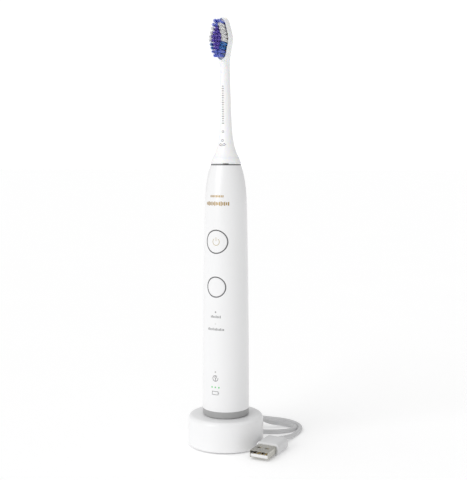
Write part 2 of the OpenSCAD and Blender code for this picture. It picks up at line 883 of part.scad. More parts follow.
module switch_body(z) {
    half = switch_w / 2;
    difference() {
        box(-half, half, switch_top_y, board_front_y, z - half, z + half);
        rod_y(plunger_r + run_gap, switch_top_y - 1,
            switch_top_y + plunger_in + button_travel + 0.05, 0, z);
    }
}

// Bodies of the two push switches.
module switch_bodies() {
    color("#3a3a3c") {
        switch_body(power_z);
        switch_body(mode_z);
    }
}

// Small lamps on the board, one behind each light guide.
module lamps() {
    color("palegreen")
        for (p = lamp_places)
            box(p[0] - lamp_w / 2, p[0] + lamp_w / 2, board_front_y - lamp_t, board_front_y,
                p[1] - lamp_w / 2, p[1] + lamp_w / 2);
}

// Clear rods from the lamps to the handle's face.
module light_guides() {
    color("honeydew")
        intersection() {
            union() {
                for (p = lamp_places)
                    rod_y(guide_d / 2, -handle_r - 1, board_front_y - lamp_t - 0.3, p[0], p[1]);
            }
            handle_solid();
        }
}

module button_ring(z, d) {
    color("gray")
        intersection() {
            difference() {
                rod_y(d / 2, -handle_r - 1, -side_r(z) * 0.7, 0, z);
                rod_y(d / 2 - button_ring_w, -handle_r - 2, 0, 0, z);
                handle_solid(handle_wall);
            }
            handle_solid();
        }
}

// Grey ring round the power button.
module power_ring() {
    button_ring(power_z, power_d);
}

// Grey ring round the mode button.
module mode_ring() {
    button_ring(mode_z, mode_d);
}

// Winding round the recess that takes the charger's field.
module receiver_coil() {
    color("peru")
        translate([0, 0, foot_z + cap_floor + 0.6])
            ring(recess_r + recess_wall + 3, recess_r + recess_wall + 0.1, recess_h - cap_floor - 1);
}

// Grey cap with the recess for the post and a spigot inside the shell.
module bottom_cap() {
    tube_r = recess_r + recess_wall;
    in = spigot_r - spigot_wall;
    floor_z = foot_z + cap_floor;
    spigot_z = seam_z + spigot_h;
    groove_half = seal_section + 0.1;
    color("darkgray")
        rotate_extrude($fn = round_fn)
            polygon([
                [0, recess_top_z], [tube_r, recess_top_z], [tube_r, floor_z], [in, floor_z],
                [in, spigot_z], [spigot_r, spigot_z],
                [spigot_r, seal_mid_z + groove_half],
                [spigot_r - seal_groove, seal_mid_z + groove_half],
                [spigot_r - seal_groove, seal_mid_z - groove_half],
                [spigot_r, seal_mid_z - groove_half],
                [spigot_r, seam_z], [cap_r, seam_z], [cap_r, foot_z + cap_edge],
                [cap_r - cap_edge, foot_z], [recess_r, foot_z],
                [recess_r, foot_z + recess_h], [0, foot_z + recess_h]]);
}

// Sealing ring in the cap's groove.
module cap_seal() {
    color("#3a3a3c")
        rotate_extrude($fn = round_fn)
            translate([spigot_r - seal_groove + seal_section + 0.01, seal_mid_z])
                circle(r = seal_section, $fn = hull_fn);
}

// ---------- drive ----------

// Steel shaft with a flat on its upper end.
module drive_shaft() {
    color("silver")
        difference() {
            translate([0, 0, shaft_low_z])
                cylinder(r = shaft_r, h = shaft_top_z - shaft_low_z, $fn = round_fn);
            box(-far, far, -far, -flat_y, shaft_top_z - flat_len, shaft_top_z + 1);
        }
}

// Carrier for the magnets on the shaft's lower end.
module rotor() {
    color("dimgray")
        difference() {
            translate([0, 0, rotor_z])
                cylinder(r = rotor_r - fit_gap, h = rotor_len, $fn = round_fn);
            translate([0, 0, shaft_low_z])
                cylinder(r = shaft_r, h = far, $fn = round_fn);
            translate([0, 0, rotor_z - 1])
                cylinder(r = torsion_r + run_gap, h = torsion_in + 1, $fn = round_fn);
            for (s = [-1, 1])
                box(min(s * magnet_in_x, s * far), max(s * magnet_in_x, s * far), -far, far,
                    magnet_z, magnet_z + magnet_h);
        }
}

// Two magnets on the carrier.
module rotor_magnets() {
    color("lightsteelblue")
        for (s = [-1, 1])
            box(min(s * magnet_in_x, s * (magnet_in_x + magnet_t)),
                max(s * magnet_in_x, s * (magnet_in_x + magnet_t)),
                -magnet_w / 2, magnet_w / 2, magnet_z, magnet_z + magnet_h);
}

// ---------- buttons ----------

module button(z, d) {
    r = d / 2 - button_ring_w - slide_gap;
    color("white")
        union() {
            intersection() {
                rod_y(r, -handle_r - 1, flange_back_y, 0, z);
                handle_solid();
            }
            intersection() {
                box(-flange_half_x, flange_half_x, -handle_r, flange_back_y,
                    z - d / 2 - flange_reach, z + d / 2 + flange_reach);
                handle_solid(handle_wall + slide_gap);
            }
            rod_y(stem_r, flange_back_y - 1, plunger_tip_y, 0, z);
        }
}

// White power button with its stem and its two retaining tabs.
module power_button() {
    button(power_z, power_d);
}

// White mode button.
module mode_button() {
    button(mode_z, mode_d);
}

module plunger(z) {
    color("#b0b0b4")
        rod_y(plunger_r, plunger_tip_y, switch_top_y + plunger_in, 0, z);
}

// Plunger of the switch under the power button.
module power_plunger() {
    plunger(power_z);
}

// Plunger of the switch under the mode button.
module mode_plunger() {
    plunger(mode_z);
}

// ---------- brush head ----------

// White flare, neck and widened top.
module head_shell() {
    low = base_ring_top_z;
    low_r = base_ring_r - base_ring_lean;
    color("white")
        difference() {
            union() {
                rotate_extrude($fn = round_fn)
                    polygon(concat([[0, low]],
                        [for (i = [0:8]) curve([low_r, low], [low_r - 2.6, low + flare_len * 0.32],
                            [flare_top_r + 0.3, low + flare_len * 0.55],
                            [flare_top_r, flare_top_z], i / 8)],
                        [[0, flare_top_z]]));
                translate([0, 0, flare_top_z])
                    rotate([neck_lean, 0, 0])
                        translate([0, 0, -1])
                            cylinder(r1 = neck_mid_r, r2 = neck_top_r,
                                h = field_z - flare_top_z + 4, $fn = round_fn);
                head_outline(0, face_y, back_y - back_edge_t);
                head_outline(back_edge_in, face_y, back_y);
            }
            // bore for the socket
            translate([0, 0, low - 1])
                cylinder(r = socket_r, h = socket_top_z - low + 1, $fn = round_fn);
            // seat of the bristle plate
            head_outline(rim_w + 0.2, face_y - 1, face_y + plate_in);
            // flat front for the soft rim
            box(-far, far, -far, face_y, field_z - 1.6, head_top_z + 1);
        }
}

// Ring at the foot of the brush head.
module head_base_ring() {
    color("white")
        rotate_extrude($fn = round_fn)
            polygon([
                [base_bore_r, head_z], [base_ring_r - 0.3, head_z], [base_ring_r, head_z + 0.3],
                [base_ring_r - base_ring_lean, base_ring_top_z], [base_bore_r, base_ring_top_z]]);
}

// Socket with a flat bore that the shaft drives.
module shaft_socket() {
    bore = shaft_r + run_gap;
    color("whitesmoke")
        difference() {
            union() {
                translate([0, 0, socket_flange_z])
                    cylinder(r = base_bore_r, h = socket_flange_t, $fn = round_fn);
                translate([0, 0, socket_flange_z])
                    cylinder(r = socket_r, h = socket_top_z - socket_flange_z, $fn = round_fn);
            }
            difference() {
                translate([0, 0, socket_flange_z - 1])
                    cylinder(r = bore, h = shaft_top_z + 1 - socket_flange_z + 1, $fn = round_fn);
                box(-far, far, -far, -flat_y - run_gap, shaft_top_z - flat_len + 1, shaft_top_z + far);
            }
            box(-clip_w / 2 - fit_gap, clip_w / 2 + fit_gap, -flat_y - fit_gap - clip_t - fit_gap, 0,
                clip_z, clip_z + clip_len);
        }
}

// Steel leaf in the socket that grips the shaft's flat.
module shaft_clip() {
    color("silver")
        box(-clip_w / 2, clip_w / 2, -flat_y - fit_gap - clip_t, -flat_y - fit_gap, clip_z, clip_z + clip_len);
}

// Flat ring with the tag that the handle reads.
module head_tag() {
    color("peru")
        translate([0, 0, socket_flange_z - tag_h])
            ring(base_bore_r, shaft_r + 1.2, tag_h);
}

// Plate that the tufts are set in.
module bristle_plate() {
    color("white")
        head_outline(rim_w + 0.2, face_y, face_y + plate_in);
}

// Soft rim round the plate.
module soft_rim() {
    color("ghostwhite")
        difference() {
            head_outline(0.1, face_y - rim_h, face_y);
            head_outline(rim_w + 0.1, face_y - rim_h - 1, face_y + 1);
        }
}

// tufts of one colour
module tufts(name) {
    for (i = [0:len(tuft_rows) - 1])
        let (reach = tuft_rows[i][0] * row_reach, colours = tuft_rows[i][1], last = len(colours) - 1)
            for (k = [0:last])
                if (colours[k] == name)
                    rod_y(tuft_r, face_y - bristle_len, face_y,
                        reach * (2 * k / last - 1), tuft_top_z - i * row_gap);
}

module white_tufts() {
    color("white")
        tufts("white");
}

module blue_tufts() {
    color("royalblue")
        tufts("blue");
}

module purple_tufts() {
    color("mediumpurple")
        tufts("purple");
}

module teal_tufts() {
    color("darkturquoise")
        tufts("teal");
}

charger_shell();
charger_base();
foot_ring();
ferrite_core();
coil_bobbin();
primary_coil();
charger_board();
charger_board_parts();
strain_relief();
cord_near();
cord_far();
cord_coil();
cord_tie();
usb_overmould();
usb_shell();
usb_tongue();
usb_contacts();
handle_shell();
joint_ring();
shaft_seal();
upper_bush();
lower_bush();
inner_frame();
stator_core();
drive_coil();
torsion_bar();
cell();
cell_tabs();
handle_board();
board_chips();
switch_bodies();
lamps();
light_guides();
power_ring();
mode_ring();
receiver_coil();
bottom_cap();
cap_seal();
frame_screws();
drive_shaft();
rotor();
rotor_magnets();
power_button();
mode_button();
power_plunger();
mode_plunger();
head_shell();
head_base_ring();
shaft_socket();
shaft_clip();
head_tag();
bristle_plate();
soft_rim();
white_tufts();
blue_tufts();
purple_tufts();
teal_tufts();
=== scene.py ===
import math
import random

import bmesh
import bpy
from mathutils import Matrix, Vector


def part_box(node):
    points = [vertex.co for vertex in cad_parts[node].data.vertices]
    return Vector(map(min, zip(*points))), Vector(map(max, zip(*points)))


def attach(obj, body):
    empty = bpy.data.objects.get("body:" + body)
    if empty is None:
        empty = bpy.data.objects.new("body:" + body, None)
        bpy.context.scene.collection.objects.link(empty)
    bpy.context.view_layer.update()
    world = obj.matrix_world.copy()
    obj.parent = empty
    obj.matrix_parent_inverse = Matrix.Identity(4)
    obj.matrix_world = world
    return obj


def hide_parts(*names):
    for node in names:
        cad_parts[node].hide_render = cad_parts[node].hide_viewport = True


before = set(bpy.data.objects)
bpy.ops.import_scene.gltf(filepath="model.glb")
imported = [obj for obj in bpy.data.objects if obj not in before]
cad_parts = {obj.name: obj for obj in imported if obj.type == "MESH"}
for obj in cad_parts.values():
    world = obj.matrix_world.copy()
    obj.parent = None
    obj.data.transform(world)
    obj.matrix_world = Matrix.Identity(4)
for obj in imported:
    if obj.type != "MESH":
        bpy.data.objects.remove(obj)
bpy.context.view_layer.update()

mm = 0.001

# ---------- Camera ----------
# A longish lens at the height of the lower handle, to the right of the front.
camera_data = bpy.data.cameras.new("camera")
camera_data.sensor_width = 36
camera_data.lens = 65.92
camera_data.shift_x = 0.0159
camera = bpy.data.objects.new("camera", camera_data)
bpy.context.scene.collection.objects.link(camera)
camera.location = (0.2443, -0.49, 0.1767)
camera.rotation_euler = (math.radians(90 - 4.91), 0, math.radians(26.5))
bpy.context.scene.camera = camera


# ---------- Cord ----------
# A round cord, 2.8 mm thick, in a satin white jacket. It leaves the charger's boot, makes two
# loops on the table and keeps its spare length in a flat coil of nearly eight turns behind it.

def node_colour(tree, colour, spread, scale):
    """A colour that drifts a little over the piece, as moulded material does."""
    nodes, links = tree.nodes, tree.links
    place = nodes.new("ShaderNodeTexCoord")
    cloud = nodes.new("ShaderNodeTexNoise")
    cloud.inputs["Scale"].default_value = scale
    cloud.inputs["Detail"].default_value = 3
    ramp = nodes.new("ShaderNodeValToRGB")
    ramp.color_ramp.elements[0].position = 0.3
    ramp.color_ramp.elements[1].position = 0.7
    ramp.color_ramp.elements[0].color = [c * (1 - spread) for c in colour] + [1]
    ramp.color_ramp.elements[1].color = [min(1, c * (1 + spread)) for c in colour] + [1]
    links.new(place.outputs["Object"], cloud.inputs["Vector"])
    links.new(cloud.outputs["Fac"], ramp.inputs["Fac"])
    return ramp.outputs["Color"]


def grained(name, colour, rough, spread=0.02, scale=60, grain=900, depth=0.04, metal=0,
            coat=0, sheen=0, subsurface=0, rough_spread=0.04):
    """A moulded or sheet material: a drifting colour, uneven gloss and a fine surface grain."""
    material = bpy.data.materials.new(name)
    material.use_nodes = True
    tree = material.node_tree
    nodes, links = tree.nodes, tree.links
    shader = nodes["Principled BSDF"]
    shader.inputs["Metallic"].default_value = metal
    shader.inputs["Coat Weight"].default_value = coat
    shader.inputs["Coat Roughness"].default_value = 0.08
    shader.inputs["Sheen Weight"].default_value = sheen
    if subsurface:
        shader.inputs["Subsurface Weight"].default_value = subsurface
        shader.inputs["Subsurface Radius"].default_value = (0.004, 0.003, 0.002)
        shader.inputs["Subsurface Scale"].default_value = 0.3
    links.new(node_colour(tree, colour, spread, scale), shader.inputs["Base Color"])
    place = nodes.new("ShaderNodeTexCoord")
    fine = nodes.new("ShaderNodeTexNoise")
    fine.inputs["Scale"].default_value = grain
    fine.inputs["Detail"].default_value = 2
    gloss = nodes.new("ShaderNodeMapRange")
    gloss.inputs["To Min"].default_value = max(0.02, rough - rough_spread)
    gloss.inputs["To Max"].default_value = min(1, rough + rough_spread)
    bump = nodes.new("ShaderNodeBump")
    bump.inputs["Strength"].default_value = depth
    bump.inputs["Distance"].default_value = 0.0002
    links.new(place.outputs["Object"], fine.inputs["Vector"])
    links.new(fine.outputs["Fac"], gloss.inputs["Value"])
    links.new(gloss.outputs["Result"], shader.inputs["Roughness"])
    links.new(fine.outputs["Fac"], bump.inputs["Height"])
    links.new(bump.outputs["Normal"], shader.inputs["Normal"])
    return material


cord_jacket = grained("cord_jacket", (0.6, 0.6, 0.605), 0.42, spread=0.03, scale=90, grain=1400)

cord_d = 2.8
near_points = [
    (0, 33, 7.2), (0.4, 36.8, 7.1), (2.5, 39.9, 6.6), (6, 41.4, 5.6), (9.8, 41.7, 4.5),
    (13.2, 43, 3.4), (16.8, 45.6, 2.5), (20.6, 47.9, 1.8), (24.8, 48.9, 1.4), (28.4, 46.9, 1.4),
    (29.9, 43, 1.4), (28.6, 38.9, 1.4), (24.8, 34.2, 1.4), (18.6, 30, 1.4), (11, 27.4, 1.4),
    (3, 26.4, 1.4), (-5, 26.4, 1.4),
]
far_points = [
    (-9, 56.2, 3.6), (-1, 56.2, 1.9), (7, 57.6, 1.4), (15, 58, 1.4), (22, 56.4, 1.4), (28, 52.6, 1.4),
    (32.2, 47, 1.4), (34, 40.5, 1.4), (34.4, 33.5, 1.4), (34.3, 27, 1.7), (33.8, 20.5, 2.7), (33, 14, 3.6),
]
coil_middle = (-23, 40)
coil_outer_r = 18.9
coil_low_z = 2
rings_in = [coil_outer_r - cord_d * ring for ring in range(4)]
coil_radii = rings_in + rings_in[::-1]
coil_heights = [coil_low_z] * len(rings_in) + [coil_low_z + cord_d] * len(rings_in)
last_ring = len(coil_radii) - 1
coil_start = -63.4          # degrees, where the cord comes in
coil_turns = 7 + 222 / 360  # clockwise
step_at = 0.81              # turn at which the cord steps over to the next ring
step_half = 0.06            # half the length of such a step, in turns
climb_bow = 1.1             # how far the cord bows inward where it climbs to the upper layer
points_per_turn = 24


def coil_point(turn):
    """Where the coiled cord is after so many turns: rings that step over at one place."""
    done = turn - step_at
    before = math.floor(done + 0.5)
    into = (done - before) / step_half
    if abs(into) < 1 and 0 <= before < last_ring:
        share = 0.5 + 0.5 * math.sin(into * math.pi / 2)
        radius = coil_radii[before] * (1 - share) + coil_radii[before + 1] * share
        height = coil_heights[before] * (1 - share) + coil_heights[before + 1] * share
        if before == len(rings_in) - 1:
            radius -= climb_bow * math.cos(into * math.pi / 2)
    else:
        ring = max(0, min(last_ring, math.floor(done + 1)))
        radius, height = coil_radii[ring], coil_heights[ring]
    angle = math.radians(coil_start - 360 * turn)
    return (coil_middle[0] + radius * math.cos(angle), coil_middle[1] + radius * math.sin(angle), height)


coil_count = int(coil_turns * points_per_turn)
coil_points = [coil_point(coil_turns * i / coil_count) for i in range(coil_count + 1)]
route = [Vector(p) * mm for p in near_points + coil_points + far_points]

cord_line = bpy.data.curves.new("cord", "CURVE")
cord_line.dimensions = "3D"
cord_line.resolution_u = 5
cord_line.bevel_depth = cord_d / 2 * mm
cord_line.bevel_resolution = 4
cord_line.use_fill_caps = True
spline = cord_line.splines.new("BEZIER")
spline.bezier_points.add(len(route) - 1)
for knot, place in zip(spline.bezier_points, route):
    knot.co = place
    knot.handle_left_type = knot.handle_right_type = "AUTO"
cord_line.materials.append(cord_jacket)
cord = bpy.data.objects.new("cord", cord_line)
bpy.context.scene.collection.objects.link(cord)
bpy.context.view_layer.update()
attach(cord, "charger")
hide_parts("cord_near", "cord_far", "cord_coil")


# ---------- Charger ----------
# A round cup of glossy white plastic with a short post in one piece with it, moulded, and closed
# from below by a plate with a rubber foot ring. The post goes up into the handle's foot.

def point_chain(shape, places):
    """Points in the XZ plane joined by edges, ready to be spun about Z."""
    points = [shape.verts.new((x * mm, 0, z * mm)) for x, z in places]
    for a, b in zip(points, points[1:]):
        shape.edges.new((a, b))
    return points


def turned(places, rounding=(), steps=160):
    """A closed shape spun about Z from (radius, height) points; rounding is (point, radius) pairs."""
    shape = bmesh.new()
    points = point_chain(shape, places)
    for number, radius in rounding:
        bmesh.ops.bevel(shape, geom=[points[number]], offset=radius * mm, offset_type="OFFSET",
                        segments=8, profile=0.5, affect="VERTICES", material=-1)
    bmesh.ops.spin(shape, geom=shape.verts[:] + shape.edges[:], cent=(0, 0, 0), axis=(0, 0, 1),
                   angle=math.tau, steps=steps, use_merge=True, use_duplicate=False)
    bmesh.ops.remove_doubles(shape, verts=shape.verts, dist=1e-6)
    bmesh.ops.recalc_face_normals(shape, faces=shape.faces)
    return shape


def finished(name, shape, material, body, stands_for=(), sharp=35):
    """The shape as a piece of its own, in its place, riding on a body."""
    mesh = bpy.data.meshes.new(name)
    shape.to_mesh(mesh)
    shape.free()
    mesh.shade_smooth()
    mesh.set_sharp_from_angle(angle=math.radians(sharp))
    mesh.materials.append(material)
    piece = bpy.data.objects.new(name, mesh)
    bpy.context.scene.collection.objects.link(piece)
    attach(piece, body)
    if stands_for:
        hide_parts(*stands_for)
    return piece


def finish_node(material, *names):
    """Gives CAD nodes their material."""
    for name in names:
        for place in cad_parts[name].material_slots:
            place.material = material


gloss_white = grained("gloss_white", (0.84, 0.84, 0.845), 0.3, spread=0.008, scale=35, grain=1500,
                      depth=0.03, coat=0.25, rough_spread=0.03)
cup_low, cup_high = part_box("charger_shell")
charger_r = cup_high.x / mm
charger_low = cup_low.z / mm
charger_h = 19.2
cup_taper = 0.4
cup_foot_wall = 1.8
cup_wall = 2.2
cup_roof = 1.6
post_r = 4.8
post_top = cup_high.z / mm
post_wall = 1.2
foot_edge_r, rim_edge_r, post_foot_r, post_edge_r = 0.5, 2.4, 0.3, 1
charger_shape = turned([
    (charger_r - cup_foot_wall, charger_low), (charger_r, charger_low),
    (charger_r - cup_taper, charger_h), (post_r, charger_h), (post_r, post_top), (0, post_top),
    (0, post_top - post_wall), (post_r - post_wall, post_top - post_wall),
    (post_r - post_wall, charger_h - cup_roof), (charger_r - cup_wall, charger_h - cup_roof),
    (charger_r - cup_foot_wall, charger_low),
], rounding=[(1, foot_edge_r), (2, rim_edge_r), (3, post_foot_r), (4, post_edge_r)])
finished("charger_cup", charger_shape, gloss_white, "charger", ["charger_shell"])

fine_white = grained("fine_white", (0.74, 0.74, 0.74), 0.55, spread=0.02, scale=70, grain=2200, depth=0.12)
foot_rubber = grained("foot_rubber", (0.2, 0.2, 0.205), 0.75, spread=0.06, scale=120, grain=1600,
                      depth=0.2)
finish_node(fine_white, "charger_base")
finish_node(foot_rubber, "foot_ring")


# ---------- Inside the charger ----------
# A ferrite rod in the post, a copper winding on a nylon spool round it, and a round board with
# the driver and its capacitors on three standoffs.

def lined(name, colour, rough, fineness):
    """Metal in fine level lines: enamelled wire laid side by side, or stacked sheets."""
    material = bpy.data.materials.new(name)
    material.use_nodes = True
    nodes, links = material.node_tree.nodes, material.node_tree.links
    shader = nodes["Principled BSDF"]
    shader.inputs["Metallic"].default_value = 0.85
    shader.inputs["Roughness"].default_value = rough
    shader.inputs["Coat Weight"].default_value = 0.4
    place = nodes.new("ShaderNodeTexCoord")
    lines = nodes.new("ShaderNodeTexWave")
    lines.bands_direction = "Z"
    lines.inputs["Scale"].default_value = fineness
    lines.inputs["Distortion"].default_value = 0.3
    tone = nodes.new("ShaderNodeValToRGB")
    tone.color_ramp.elements[0].color = [c * 0.45 for c in colour] + [1]
    tone.color_ramp.elements[1].color = list(colour) + [1]
    bump = nodes.new("ShaderNodeBump")
    bump.inputs["Strength"].default_value = 0.6
    bump.inputs["Distance"].default_value = 0.0001
    links.new(place.outputs["Object"], lines.inputs["Vector"])
    links.new(lines.outputs["Fac"], tone.inputs["Fac"])
    links.new(tone.outputs["Color"], shader.inputs["Base Color"])
    links.new(lines.outputs["Fac"], bump.inputs["Height"])
    links.new(bump.outputs["Normal"], shader.inputs["Normal"])
    return material


ferrite_dark = grained("ferrite_dark", (0.07, 0.07, 0.075), 0.6, spread=0.15, scale=300, grain=2500,
                       depth=0.2)
spool_nylon = grained("spool_nylon", (0.72, 0.67, 0.55), 0.5, spread=0.03, scale=90, grain=900, depth=0.1)
copper_wire = lined("copper_wire", (0.78, 0.36, 0.16), 0.3, 900)


def board_lacquer(name, colour):
    """Green lacquer over copper tracks: a fine grid of lines that stand up a little."""
    material = bpy.data.materials.new(name)
    material.use_nodes = True
    nodes, links = material.node_tree.nodes, material.node_tree.links
    shader = nodes["Principled BSDF"]
    shader.inputs["Roughness"].default_value = 0.3
    shader.inputs["Coat Weight"].default_value = 0.3
    place = nodes.new("ShaderNodeTexCoord")
    tracks = nodes.new("ShaderNodeTexVoronoi")
    tracks.feature = "DISTANCE_TO_EDGE"
    tracks.inputs["Scale"].default_value = 420
    tone = nodes.new("ShaderNodeValToRGB")
    tone.color_ramp.elements[0].position = 0.04
    tone.color_ramp.elements[0].color = [min(1, c * 2.2) for c in colour] + [1]
    tone.color_ramp.elements[1].position = 0.09
    tone.color_ramp.elements[1].color = list(colour) + [1]
    bump = nodes.new("ShaderNodeBump")
    bump.invert = True
    bump.inputs["Strength"].default_value = 0.2
    bump.inputs["Distance"].default_value = 0.00005
    links.new(place.outputs["Object"], tracks.inputs["Vector"])
    links.new(tracks.outputs["Distance"], tone.inputs["Fac"])
    links.new(tone.outputs["Color"], shader.inputs["Base Color"])
    links.new(tracks.outputs["Distance"], bump.inputs["Height"])
    links.new(bump.outputs["Normal"], shader.inputs["Normal"])
    return material


board_green = board_lacquer("board_green", (0.02, 0.13, 0.06))
chip_epoxy = grained("chip_epoxy", (0.03, 0.03, 0.033), 0.5, spread=0.1, scale=300, grain=2600, depth=0.2)
finish_node(ferrite_dark, "ferrite_core")
finish_node(spool_nylon, "coil_bobbin")
finish_node(copper_wire, "primary_coil")
finish_node(board_green, "charger_board")
finish_node(chip_epoxy, "charger_board_parts")


# ---------- Strain relief ----------
# A soft boot moulded on the cord. Its flange is held inside the charger's wall, and five grooves
# let the part outside bend.
relief_z = 7.2
relief_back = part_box("strain_relief")[0].y / mm
relief_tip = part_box("strain_relief")[1].y / mm
flange_r = 3.6
wall_hole_r = 2.88
flange_front = math.sqrt((charger_r - cup_foot_wall) ** 2 - flange_r ** 2) - 0.1
boot_r, boot_narrowing = 2.85, 0.9
boot_tip_r = 1.75
first_groove_y = charger_r + 1.6
groove_count = 5
groove_room = (relief_tip - 0.6 - first_groove_y) / groove_count
groove_w = 0.5


def spun_along_y(places, x, z, rounding=(), steps=48):
    """A closed shape spun about a line along Y, from (radius, y) points."""
    shape = turned([(r, y) for r, y in places], rounding, steps)
    bmesh.ops.rotate(shape, verts=shape.verts, cent=(0, 0, 0),
                     matrix=Matrix.Rotation(-math.pi / 2, 3, "X"))
    bmesh.ops.translate(shape, verts=shape.verts, vec=(x * mm, 0, z * mm))
    return shape


def groove(r, y, depth, slope, narrowing):
    """The points of an outline that goes down into a groove and up to a thinner part after it."""
    return [(r, y), (r - depth, y + slope), (r - depth, y + groove_w), (r - narrowing, y + groove_w + slope)]


relief_outline = [(0, relief_back), (flange_r, relief_back), (flange_r, flange_front),
                  (wall_hole_r, flange_front), (wall_hole_r, charger_r + 1.2)]
for number in range(groove_count):
    groove_y = first_groove_y + number * groove_room
    groove_r = boot_r - boot_narrowing * (groove_y - charger_r) / (relief_tip - charger_r)
    relief_outline += groove(groove_r, groove_y, 0.35, 0.12, 0.1)
relief_outline += [(boot_tip_r + 0.2, relief_tip - 0.5), (boot_tip_r, relief_tip), (0, relief_tip)]
cord_boot = finished("cord_boot", spun_along_y(relief_outline, 0, relief_z), cord_jacket, "charger",
                     ["strain_relief"], sharp=50)


# ---------- Plug ----------
# A flat white overmould with rounded edges, drawn in to a short grooved tail, on a USB plug of
# folded plated sheet with its white tongue and four gilt contacts.
mould_low, mould_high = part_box("usb_overmould")
plug_x = (mould_low.x + mould_high.x) / 2 / mm
plug_z = (mould_low.z + mould_high.z) / 2 / mm
mould_w = (mould_high.x - mould_low.x) / mm
mould_h = (mould_high.z - mould_low.z) / mm
mould_y = mould_low.y / mm
tail_len = 6
mould_end = mould_high.y / mm - tail_len
mould_edge_r, mouth_edge_r = 2.3, 0.7
shell_w, shell_h = 12, 4.5
seat_gap = 0.02
seat_wall = 0.5
seat_depth = 6

mould_shape = bmesh.new()
bmesh.ops.create_cube(mould_shape, size=1)
bmesh.ops.scale(mould_shape, verts=mould_shape.verts,
                vec=(mould_w * mm, (mould_end - mould_y) * mm, mould_h * mm))
bmesh.ops.translate(mould_shape, verts=mould_shape.verts,
                    vec=(plug_x * mm, (mould_y + mould_end) / 2 * mm, plug_z * mm))
# long edges rounded well, then the tail end pulled in
long_edges = [e for e in mould_shape.edges if abs(e.verts[0].co.y - e.verts[1].co.y) > 1e-4]
bmesh.ops.bevel(mould_shape, geom=long_edges, offset=mould_edge_r * mm, offset_type="OFFSET", segments=8,
                profile=0.5, affect="EDGES", material=-1)
tail_face = max(mould_shape.faces, key=lambda f: f.calc_center_median().y)
front_face = min(mould_shape.faces, key=lambda f: f.calc_center_median().y)
# how far out each step goes, and how much narrower and lower it is than the one before
tail_steps = [(0.9, 0.985, 0.97), (0.9, 0.955, 0.93), (0.8, 0.9, 0.87), (0.6, 0.8, 0.78)]
tail_pull = sum(outward for outward, _, _ in tail_steps)
bmesh.ops.translate(mould_shape, verts=tail_face.verts, vec=(0, -tail_pull * mm, 0))
for outward, narrowing, lowering in tail_steps:
    grown = bmesh.ops.extrude_discrete_faces(mould_shape, faces=[tail_face])
    tail_face = grown["faces"][0]
    centre = tail_face.calc_center_median()
    for corner in tail_face.verts:
        corner.co.x = centre.x + (corner.co.x - centre.x) * narrowing
        corner.co.z = centre.z + (corner.co.z - centre.z) * lowering
        corner.co.y += outward * mm
# front edge rounded a little, and the seat of the metal shell sunk in
bmesh.ops.bevel(mould_shape, geom=list(front_face.edges), offset=mouth_edge_r * mm, offset_type="OFFSET",
                segments=4, profile=0.5, affect="EDGES", material=-1)
bmesh.ops.recalc_face_normals(mould_shape, faces=mould_shape.faces)
front_face = min((f for f in mould_shape.faces if f.calc_area() > 40 * mm * mm),
                 key=lambda f: f.calc_center_median().y)
bmesh.ops.inset_region(mould_shape, faces=[front_face], thickness=seat_wall * mm, use_even_offset=True)


def squared(place, middle, flat, half):
    """Brings a place on a rounded outline to the side of a box; past `flat` it is at the corner."""
    return (middle + max(-1, min(1, (place / mm - middle) / flat)) * half) * mm


for corner in front_face.verts:
    corner.co.x = squared(corner.co.x, plug_x, 5, shell_w / 2 + seat_gap)
    corner.co.z = squared(corner.co.z, plug_z, 1.6, shell_h / 2 + seat_gap)
sunk = bmesh.ops.extrude_discrete_faces(mould_shape, faces=[front_face])["faces"][0]
bmesh.ops.translate(mould_shape, verts=sunk.verts, vec=(0, seat_depth * mm, 0))
plug_white = grained("plug_white", (0.69, 0.69, 0.695), 0.45, spread=0.02, scale=90, grain=1800, depth=0.1)
plug_body = finished("plug_body", mould_shape, plug_white, "charger", sharp=40)

tail_r, tail_tip_r = 2.6, 1.65
tail_outline = [(0, mould_end - 1), (tail_r + 0.15, mould_end - 1), (tail_r + 0.1, mould_end + 0.6)]
for number in range(4):
    tail_outline += groove(tail_r - 0.22 * number, mould_end + 0.8 + 1.1 * number, 0.3, 0.15, 0.06)
tail_outline += [(tail_tip_r + 0.15, mould_end + tail_len - 0.4), (tail_tip_r, mould_end + tail_len),
                 (0, mould_end + tail_len)]
plug_tail = finished("plug_tail", spun_along_y(tail_outline, plug_x, plug_z), plug_white, "charger",
                     sharp=50)
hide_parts("usb_overmould")

plated_sheet = grained("plated_sheet", (0.5, 0.49, 0.45), 0.28, spread=0.04, scale=150, grain=700,
                       depth=0.03, metal=1, rough_spread=0.08)
tongue_white = grained("tongue_white", (0.8, 0.8, 0.8), 0.4, spread=0.01, scale=90, grain=1500, depth=0.05)
contact_gilt = grained("contact_gilt", (0.83, 0.62, 0.25), 0.25, spread=0.04, scale=300, grain=1500, metal=1)
finish_node(plated_sheet, "usb_shell")
finish_node(tongue_white, "usb_tongue")
finish_node(contact_gilt, "usb_contacts")


# ---------- Cord tie ----------
# A grey woven hook and loop strap. It is wrapped round one side of the coil and closes on itself,
# so that the spare cord stays together.
strap_weave = grained("strap_weave", (0.45, 0.45, 0.46), 0.8, spread=0.12, scale=500, grain=1500,
                      depth=0.5, sheen=0.4)
finish_node(strap_weave, "cord_tie")


# ---------- Handle ----------
# One slim moulded tube of white plastic, widest at its foot and drawn in at the shoulder. It has
# round holes for two buttons and small ones for six light guides.
seam_z = 23.7
handle_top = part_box("handle_shell")[1].z / mm
shoulder_z = handle_top - 26.2
foot_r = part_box("handle_shell")[1].x / mm
shoulder_r, top_r = 13.2, 9.5
side_bow = 1.8
handle_wall = 1.8
# how far in and up from the shoulder's foot the two handles of its curve are
low_handle, high_handle = (0.15, 12.05), (2, 20.96)
side_steps, shoulder_steps = 30, 24


